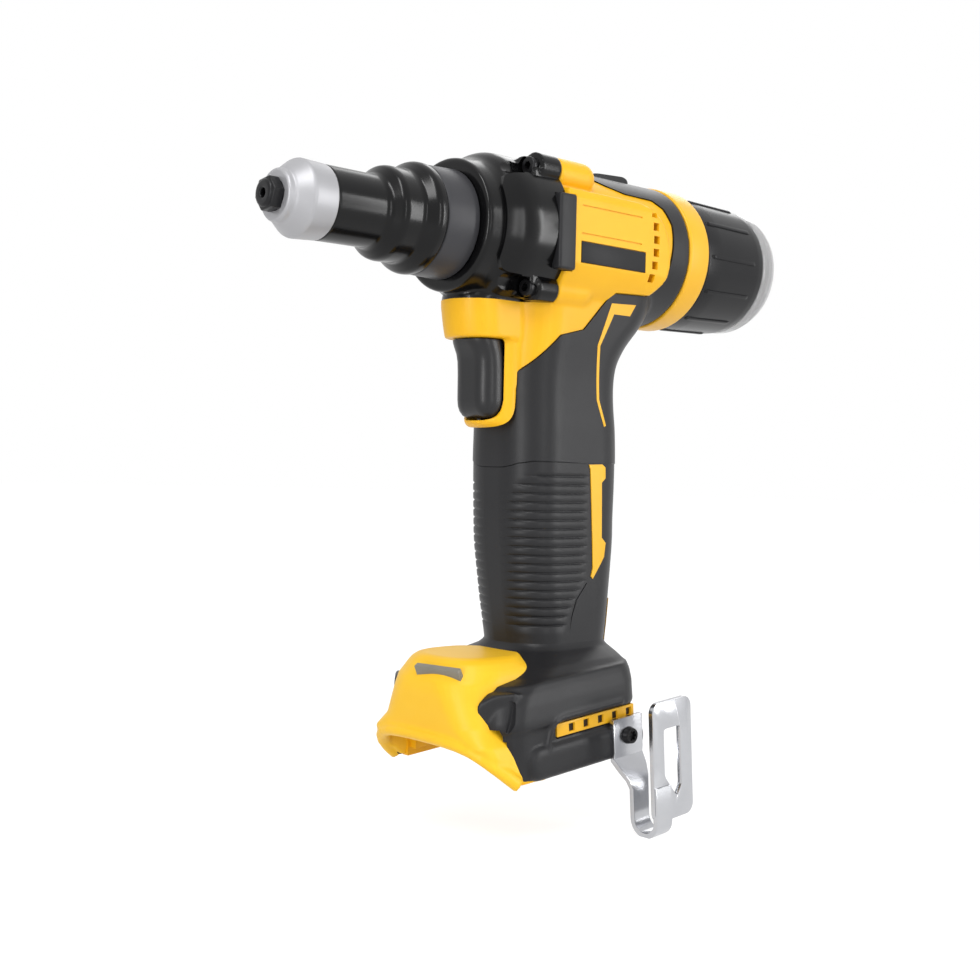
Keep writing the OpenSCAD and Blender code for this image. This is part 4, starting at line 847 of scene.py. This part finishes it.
rings = [handleRing(-157, -1), handleRing(-160.5, -0.3)]
for centre, z, half, width, corner, lean in boot["shoulder"]:
    a = radians(lean)
    rings.append([Vector(((centre + x * cos(a)) * mm, y * mm, (z - x * sin(a)) * mm))
                  for x, y in roundedRing(half, width, corner)])
rings += [footRing(*section) for section in boot["sections"]]
parts = [loft(rings)]
for side in (1, -1):
    parts.append(loft([[footPoint(-36.4 + x, side * y, 6.7 + z) for x, z in roundedRing(half, tall, 5.6)]
                       for y, half, tall in boot["swell"]]))
    wedge = sidePrism(side, boot["cheek"], 24.4, boot["facet"][1][1])
    a, b = [Vector((x * mm, side * y * mm, 0)) for x, y in boot["facet"]]
    away = Vector((0, 0, 1)).cross(b - a) * side
    outer = away.y * side > 0
    geom = wedge.verts[:] + wedge.edges[:] + wedge.faces[:]
    bmesh.ops.bisect_plane(wedge, geom=geom, dist=1e-7, plane_co=a, plane_no=away,
                           clear_outer=outer, clear_inner=not outer)
    bmesh.ops.holes_fill(wedge, edges=[e for e in wedge.edges if e.is_boundary], sides=0)
    parts.append(outwards(wedge))
    tube = []
    for i, (x, z) in enumerate(boot["brow"]):
        along = direction(boot["brow"], i)
        tube.append([footPoint(x - along.y * cos(a), side * (boot["browY"] + boot["browR"] * sin(a)),
                               z + along.x * cos(a)) for a in circle(20)])
    parts.append(loft(tube))
piece = fused(joined(*parts), "softBoot", 0.62, 5)
for side in (1, -1):
    recess = atFoot(sideBlock(side, (-70, 35.5, 14.2), (-19.2, 45, 20.7), 0.9))  # for the vent strip
    carve(piece, sidePrism(side, boot["scoop"], 33.6, 41, 0.6), recess)
carve(piece, *[atFoot(block(low, high)) for low, high in boot["rooms"]])
finish(piece, *softGrip, angle=42)
print("soft boot made")

# trim let into the handle: three strips a side, outlines as [x, z]
trim = {
    "shapes": [
        [(-150.5, -25.2), (-165, -24.6), (-162, -29.4), (-152.4, -29.4), (-146.2, -42.6), (-148.2, -64),
         (-152.6, -74.4), (-151.4, -74.9), (-146.8, -64.2), (-144.7, -42.4)],
        [(-142.9, -90.4), (-150.7, -90.2), (-152.6, -91.4), (-152.9, -95.8), (-150.7, -97.6), (-151.8, -120),
         (-154.5, -122.2), (-153.9, -127.9), (-147.7, -136.6), (-146.7, -135.6), (-147.5, -132.4),
         (-143.9, -92.2)],
        [(-162, -147), (-163.4, -145.6), (-165.2, -147.6), (-164.5, -163), (-162.6, -165),
         (-161.6, -163.2)],
    ],
    "proud": 0.75, "under": 0.1,
}
sides = ((1, "Left"), (-1, "Right"))
for side, tag in sides:
    strips = []
    for shape in trim["shapes"]:
        strip = makeObject(handleLoft(-16, -168, 1.5, trim["proud"]), "trimForm")
        carve(strip, sidePrism(side, shape, 8, 40), mode="INTERSECT")
        strips.append(released(carve(strip, handleLoft(-12, -172, 1.5, trim["under"]))))
    piece = makeObject(joined(*strips), "gripInlay" + tag)
    finish(piece, "smoothNylonRing", "inlay_yellow", "inlay_" + tag.lower())
print("trim made")

# bumpers, plates, top pad and rear ring
for side, tag in sides:
    bumper = sideBlock(side, (-121, 28, -16), (-112, 33, 13), 1.1, 4)
    finish(makeObject(bumper, "sideBumper" + tag), "paddedRubber", "soft_grey", "bumper_" + tag.lower())
    plate = sideBlock(side, (-161.9, 31.5, -12.2), (-124.6, 32.35, -4.2), 0.15, 2)
    finish(makeObject(plate, "barePlate" + tag), "satinPlate", "label_grey", "label_" + tag.lower())

padSide = [(-151, 28), (-151, 29.4), (-159, 30.8), (-174.6, 31.7), (-177.4, 30.8), (-178, 28)]
pad = prism(rounded(padSide, 1.6, 4), -7.6, 7.6, 0.7, 3)
finish(makeObject(pad, "topPad"), "paddedRubber", "pad_black", "top_pad")
profile = [(-193.1, 25.6), (-193.1, 30.1), (-193.8, 30.6), (-204.6, 30.6), (-205.7, 29.9), (-205.9, 25.6)]
ring = turnedRing(profile, 0.4, 3, 128)
finish(makeObject(ring, "rearRing"), "smoothNylonRing", "ring_yellow", "rear_ring", angle=50)
print("pads and rear ring made")

# mandrel cup: profiles as [x, r], ribs as [x, r] in the side view
cup = {
    "wall": [(-200.2, 22.6), (-200.2, 24.7), (-206.6, 24.7), (-206.6, 28.2), (-207.4, 29), (-216, 29.2),
             (-243, 28.6), (-246.6, 28.2), (-247.3, 27.6), (-247.3, 26.2), (-252.9, 26), (-252.9, 25.4),
             (-208.6, 25.4), (-208.6, 22.6)],
    "rib": [(-209, 27.5), (-209, 29.2), (-210.5, 29.85), (-238.5, 29.35), (-240.2, 28.7), (-240.2, 27.5)],
    "ribs": 12, "ribHalf": 0.85, "ribTurn": 15.5,
    "rim": [(-252.95, 26.05), (-247.45, 26.3), (-247.45, 28), (-254.2, 27.7), (-257.5, 26.4),
            (-260.4, 23.6), (-261.9, 20.2), (-261.9, 0)],
    "rimInside": [(-259.6, 0), (-259.6, 19), (-258.2, 22), (-255.4, 24.2), (-252.95, 25.3),
                  (-252.95, 26.05)],
}
parts = [turnedRing(cup["wall"], 0.5, 3, 144)]
for k in range(cup["ribs"]):
    rib = prism(cup["rib"], -cup["ribHalf"], cup["ribHalf"], 0.35)
    angle = tau * (k + 0.5) / cup["ribs"] + radians(cup["ribTurn"])
    parts.append(placed(rib, Matrix.Rotation(angle, 4, "X")))
piece = makeObject(joined(*parts), "mandrelCup")
finish(piece, "semiGlossNylonBlack", "cup_black", "mandrel_cup", body="cup", angle=40)

piece = makeObject(turned(rounded(cup["rim"], 0.8, 4) + cup["rimInside"], 128), "clearRim")
finish(piece, "frostedPolycarbonate", "clear_plastic", "cup_rim", body="cup", angle=50)
print("cup made")

# trigger
trigger = {
    # height, front, half width and back of its sections
    "sections": [
        (-42.8, -92.3, 10.2, -108.6), (-43.6, -92.5, 10.35, -108.8), (-45.4, -93.4, 10.35, -109),
        (-48, -95, 10.35, -109.3), (-51, -95.8, 10.35, -109.6), (-56, -96, 10.35, -110),
        (-62, -96, 10.35, -110.2), (-66, -96.1, 10.35, -110.2), (-68.4, -96.4, 10.1, -109.8),
        (-70.4, -97.2, 9.4, -108.6), (-72.2, -98.8, 8.2, -107), (-73.2, -100.6, 6.2, -105.4),
    ],
    "stemZ": -58.5, "stemR": 3, "stemEnd": -123.5, "corner": 8.4,
}
rings = []
for z, front, width, back in trigger["sections"]:
    half = (front - back) / 2
    corner = min(trigger["corner"], width - 0.4, half - 0.4)
    rings.append(levelRing(back + half, z, half, width, corner))
stem = rod(-108, trigger["stemEnd"], 0, trigger["stemZ"], trigger["stemR"], 24)
piece = makeObject(joined(loft(rings), stem), "triggerPaddle")
finish(piece, "satinNylonTrigger", "trigger_black", "trigger", body="trigger", angle=50)
print("trigger made")

# battery well in the foot, in the foot's frame
well = {
    # height, half length and half width
    "sections": [(0, 37.2, 35), (0.5, 38, 35.8), (0.9, 38, 35.8), (1.2, 36.9, 34.8),
                 (26, 36.9, 34.8)],
    "centre": -30.8, "corner": 11,
    # slot, contacts' room and cable's room; then the cuts in front
    "rooms": [((-58, -31, -5), (40, 31, 18)), ((-58, -26, 20.4), (-4, 26, 27.4)),
              ((-54, -11, 24), (-38, 11, 40))],
    "rail": [(-58.5, 27.6, 3.2), (3, 31.5, 7.2)],
    "front": [((-2.5, -31, -5), (40, 31, 40)), ((-1, -45, -5), (40, 45, 40))],
}
piece = makeObject(loft([footRing(well["centre"], z, half, width, well["corner"])
                         for z, half, width in well["sections"]]), "batteryWell")
carve(piece, *[atFoot(block(low, high)) for low, high in well["rooms"]])
for side in (1, -1):
    carve(piece, atFoot(sideBlock(side, *well["rail"], 0.4, 2)), mode="UNION")
carve(piece, *[atFoot(block(low, high)) for low, high in well["front"]])
finish(piece, "sparkedNylonYellow", "body_yellow", "housing_left", "housing_right")

# hood over the front of the foot
hood = {
    # height, rear, front, half width and corner
    "sections": [
        (-164.9, -118, -82.4, 17.2, 15), (-165.5, -118, -80.8, 19.4, 16), (-166.9, -118, -79.4, 21.6, 17),
        (-169, -122, -77.8, 23.6, 19), (-171.4, -126, -76, 24.8, 20), (-173.4, -128, -74.8, 25.2, 19),
        (-178, -128, -74.6, 25.6, 16.5), (-184, -128, -75.2, 27.2, 14.5), (-190, -128, -76, 29, 12.5),
        (-193.4, -124, -76.5, 31.4, 9), (-196, -118, -77, 33.4, 6.5), (-200, -112, -80, 34.6, 5),
        (-205, -112, -86.6, 35.4, 5), (-210.4, -112, -93.4, 35.8, 5),
    ],
    # the mouth as [y, z], left half
    "arch": [(0, -196.6), (14, -196.8), (20, -197.4), (25.5, -198.9), (29, -201.4), (31.2, -205.2),
             (32.2, -210), (32.4, -216)],
    # flared lip along the mouth down to the feet, left half, and the half axes of its section
    "lip": [(-76.9, 0, -195.4), (-76.9, 8, -195.45), (-77, 14, -195.7), (-77.6, 20, -196.3),
            (-78.9, 25.4, -197.6), (-81, 29.6, -199.8), (-84.2, 32.8, -202.8), (-88.6, 35, -206.4),
            (-93.4, 36, -210)],
    "lipDeep": 2.9, "lipTall": 2.3,
    "plate": (1.2, 10.5, 2.6), "platePlace": (-77.9, 7.5, -170.4), "plateTurn": 11, "plateLean": 28,
}
piece = makeObject(loft([levelRing((rear + front) / 2, z, (front - rear) / 2, width, corner)
                         for z, rear, front, width, corner in hood["sections"]]), "footHood")
mouth = prism(hood["arch"] + [(-y, z) for y, z in reversed(hood["arch"][1:])], -130, -60)
carve(piece, placed(mouth, Matrix.Rotation(-pi / 2, 4, "Z")),
      atFoot(block((-60, -31.4, -5), (13, 31.4, 17.4))))
path = [(x, -y, z) for x, y, z in reversed(hood["lip"][1:])] + hood["lip"]
rings = []
for i, p in enumerate(path):
    along = direction(path, i)
    deep = (Vector((1, 0, 0)) - along * along.x).normalized()
    tall = along.cross(deep)
    rings.append([(Vector(p) + deep * hood["lipDeep"] * cos(a) + tall * hood["lipTall"] * sin(a)) * mm
                  for a in circle(24)])
piece = fused(joined(released(piece), loft(rings)), "footHood", 0.6, 7)
carve(piece, atFoot(block((-60, -30.6, -5), (6, 30.6, 17.4))), handleLoft(-150, -163, 4, 0.2))
finish(piece, "sparkedNylonHood", "hood_yellow", "foot_hood", angle=42)

plate = block([-c for c in hood["plate"]], hood["plate"], 0.3, 2)
placed(plate, Matrix.Translation([c * mm for c in hood["platePlace"]])
       @ Matrix.Rotation(radians(hood["plateTurn"]), 4, "Z")
       @ Matrix.Rotation(radians(hood["plateLean"]), 4, "Y"))
finish(makeObject(plate, "hoodPlate"), "dieCutFoil", "plate_grey", "hood_plate")

# vent strips on the foot's sides, in the foot's frame
vents = {"corners": [(-64, 34.6, 14.9), (-20, 36.4, 20)], "count": 5, "first": -26.5, "pitch": 8.2,
         "long": 3.2, "low": 15.9, "high": 19}
for side, tag in sides:
    strip = makeObject(atFoot(sideBlock(side, *vents["corners"], 0.2, 2)), "ventStrip" + tag)
    for k in range(vents["count"]):
        x = vents["first"] - vents["pitch"] * k
        carve(strip, atFoot(sideBlock(side, (x - vents["long"], 30, vents["low"]), (x, 40, vents["high"]))))
    finish(strip, "smoothNylonRing", "inlay_yellow", "vent_strip_" + tag.lower())
print("foot made")

# belt hook, in the foot's frame
hook = {
    "x": -56.8, "thick": 2, "bendY": 51.9, "bendZ": -22, "bendR": 5.9,
    # band from the screw down to the bend: y, z, width and shift along x
    "band": [
        (37.7, 16.4, 16.8, 0), (37.7, 3, 16.8, 0), (38.6, 0.4, 17.2, 0.3), (42, -3.4, 15, 0.8),
        (44.8, -7, 11.5, 1.3), (45.9, -10.5, 9.2, 1.6), (46, -22, 9, 1.7),
    ],
    "bandEnd": [(57.8, -22, 9, 1.7), (57.8, -8, 9, 1.7)],
    "plate": (23, 47), "plateX": -5.1, "plateZ": 1.5, "plateCorner": 4.2,
    "slot": [(-4.8, 14.2), (-9.9, 14.2), (-9.9, -9.6), (-7, -13.8), (0, -4.4), (0, 14.2), (-4.8, 14.2)],
    "screwY": 40.8, "screwZ": 9, "screwR": 3.5, "screwTopR": 3, "screwHigh": 2.2,
}
bend = [(hook["bendY"] - hook["bendR"] * cos(a), hook["bendZ"] - hook["bendR"] * sin(a), 9, 1.7)
        for a in [pi * k / 12 for k in range(1, 12)]]
band = hook["band"] + bend + hook["bandEnd"]
path = [(y, z) for y, z, wide, shift in band]
rings = []
for i, (y, z, wide, shift) in enumerate(band):
    along = direction(path, i)
    out = Vector((-along.y, along.x)) * hook["thick"] / 2
    centre = Vector((y, z)) + Vector((0.9 if i < 2 else 0, 0))
    ring = []
    across = (-1, -0.94, 0, 0.94, 1)
    for sx, so in [(s, 1) for s in across] + [(s, -1) for s in reversed(across)]:
        p = centre + out * so
        ring.append(Vector(((hook["x"] + shift + sx * wide / 2) * mm, p.x * mm, p.y * mm)))
    rings.append(ring)
plate = [[Vector(((hook["x"] + hook["plateX"] + x) * mm, y * mm, (hook["plateZ"] + z) * mm))
          for x, z in roundedRing(hook["plate"][0] / 2, hook["plate"][1] / 2, hook["plateCorner"])]
         for y in (56, 56.5, 57.5, 58)]
piece = makeObject(loft(plate), "beltHook")
slot = rounded(hook["slot"], 1.4, 4)[:-1]
carve(piece, prism([(hook["x"] + x, z) for x, z in slot], 50, 64))
carve(piece, loft(rings), mode="UNION")
piece.data.transform(footPlace)
soften = piece.modifiers.new("soften", "BEVEL")
soften.width = 0.35 * mm
soften.segments = 2
soften.limit_method = "ANGLE"
soften.angle_limit = radians(40)
settle(piece)
finish(piece, "tumbledNickelSteel", "hook_steel", "belt_hook", angle=40)

head = bmesh.new()  # button head with a star socket
bmesh.ops.create_cone(head, cap_ends=True, segments=40, radius1=hook["screwR"] * mm,
                      radius2=hook["screwTopR"] * mm, depth=hook["screwHigh"] * mm)
middle = Matrix.Translation([c * mm for c in (hook["x"], hook["screwY"], hook["screwZ"])])
placed(head, middle @ Matrix.Rotation(-pi / 2, 4, "X"))
piece = makeObject(atFoot(head), "hookScrew")
for k in range(3):
    star = block((-2, 40.9, -0.62), (2, 43.5, 0.62))
    turn = Matrix.Rotation(radians(60 * k), 4, "Y")
    placed(star, Matrix.Translation((hook["x"] * mm, 0, hook["screwZ"] * mm)) @ turn)
    carve(piece, atFoot(star))
finish(piece, "blackOxideSteel", "blackened_steel", "hook_screw", angle=30)
print("hook made")

# CAD nodes that keep their shape
slotLooks = {
    "blackOxideSteel": "blackened_steel", "mattNickelTurned": "satin_nickel",
    "groundSteel": "spring_steel ground_steel", "sinteredSteel": "tool_steel gear_steel",
    "plainMouldingBlack": "switch_black terminal_black fan_black mount_black",
    "stackedSheetSteel": "lamination", "enamelledCopper": "copper_wire",
    "tinnedBrass": "contact_brass", "solderMask": "board_green",
}
lookOf = {slot: look for look, names in slotLooks.items() for slot in names.split()}
slots = {s["node"]: s["material_slot"] for s in frame["record"]["subparts"]}
kept = 0
for name, obj in frame["nodes"].items():
    if slots.get(name) in lookOf:
        obj.data.materials.clear()
        obj.data.materials.append(looks[lookOf[slots[name]]])
        kept += 1
print("CAD nodes given a finish:", kept, "and pieces made:", len(madePieces))
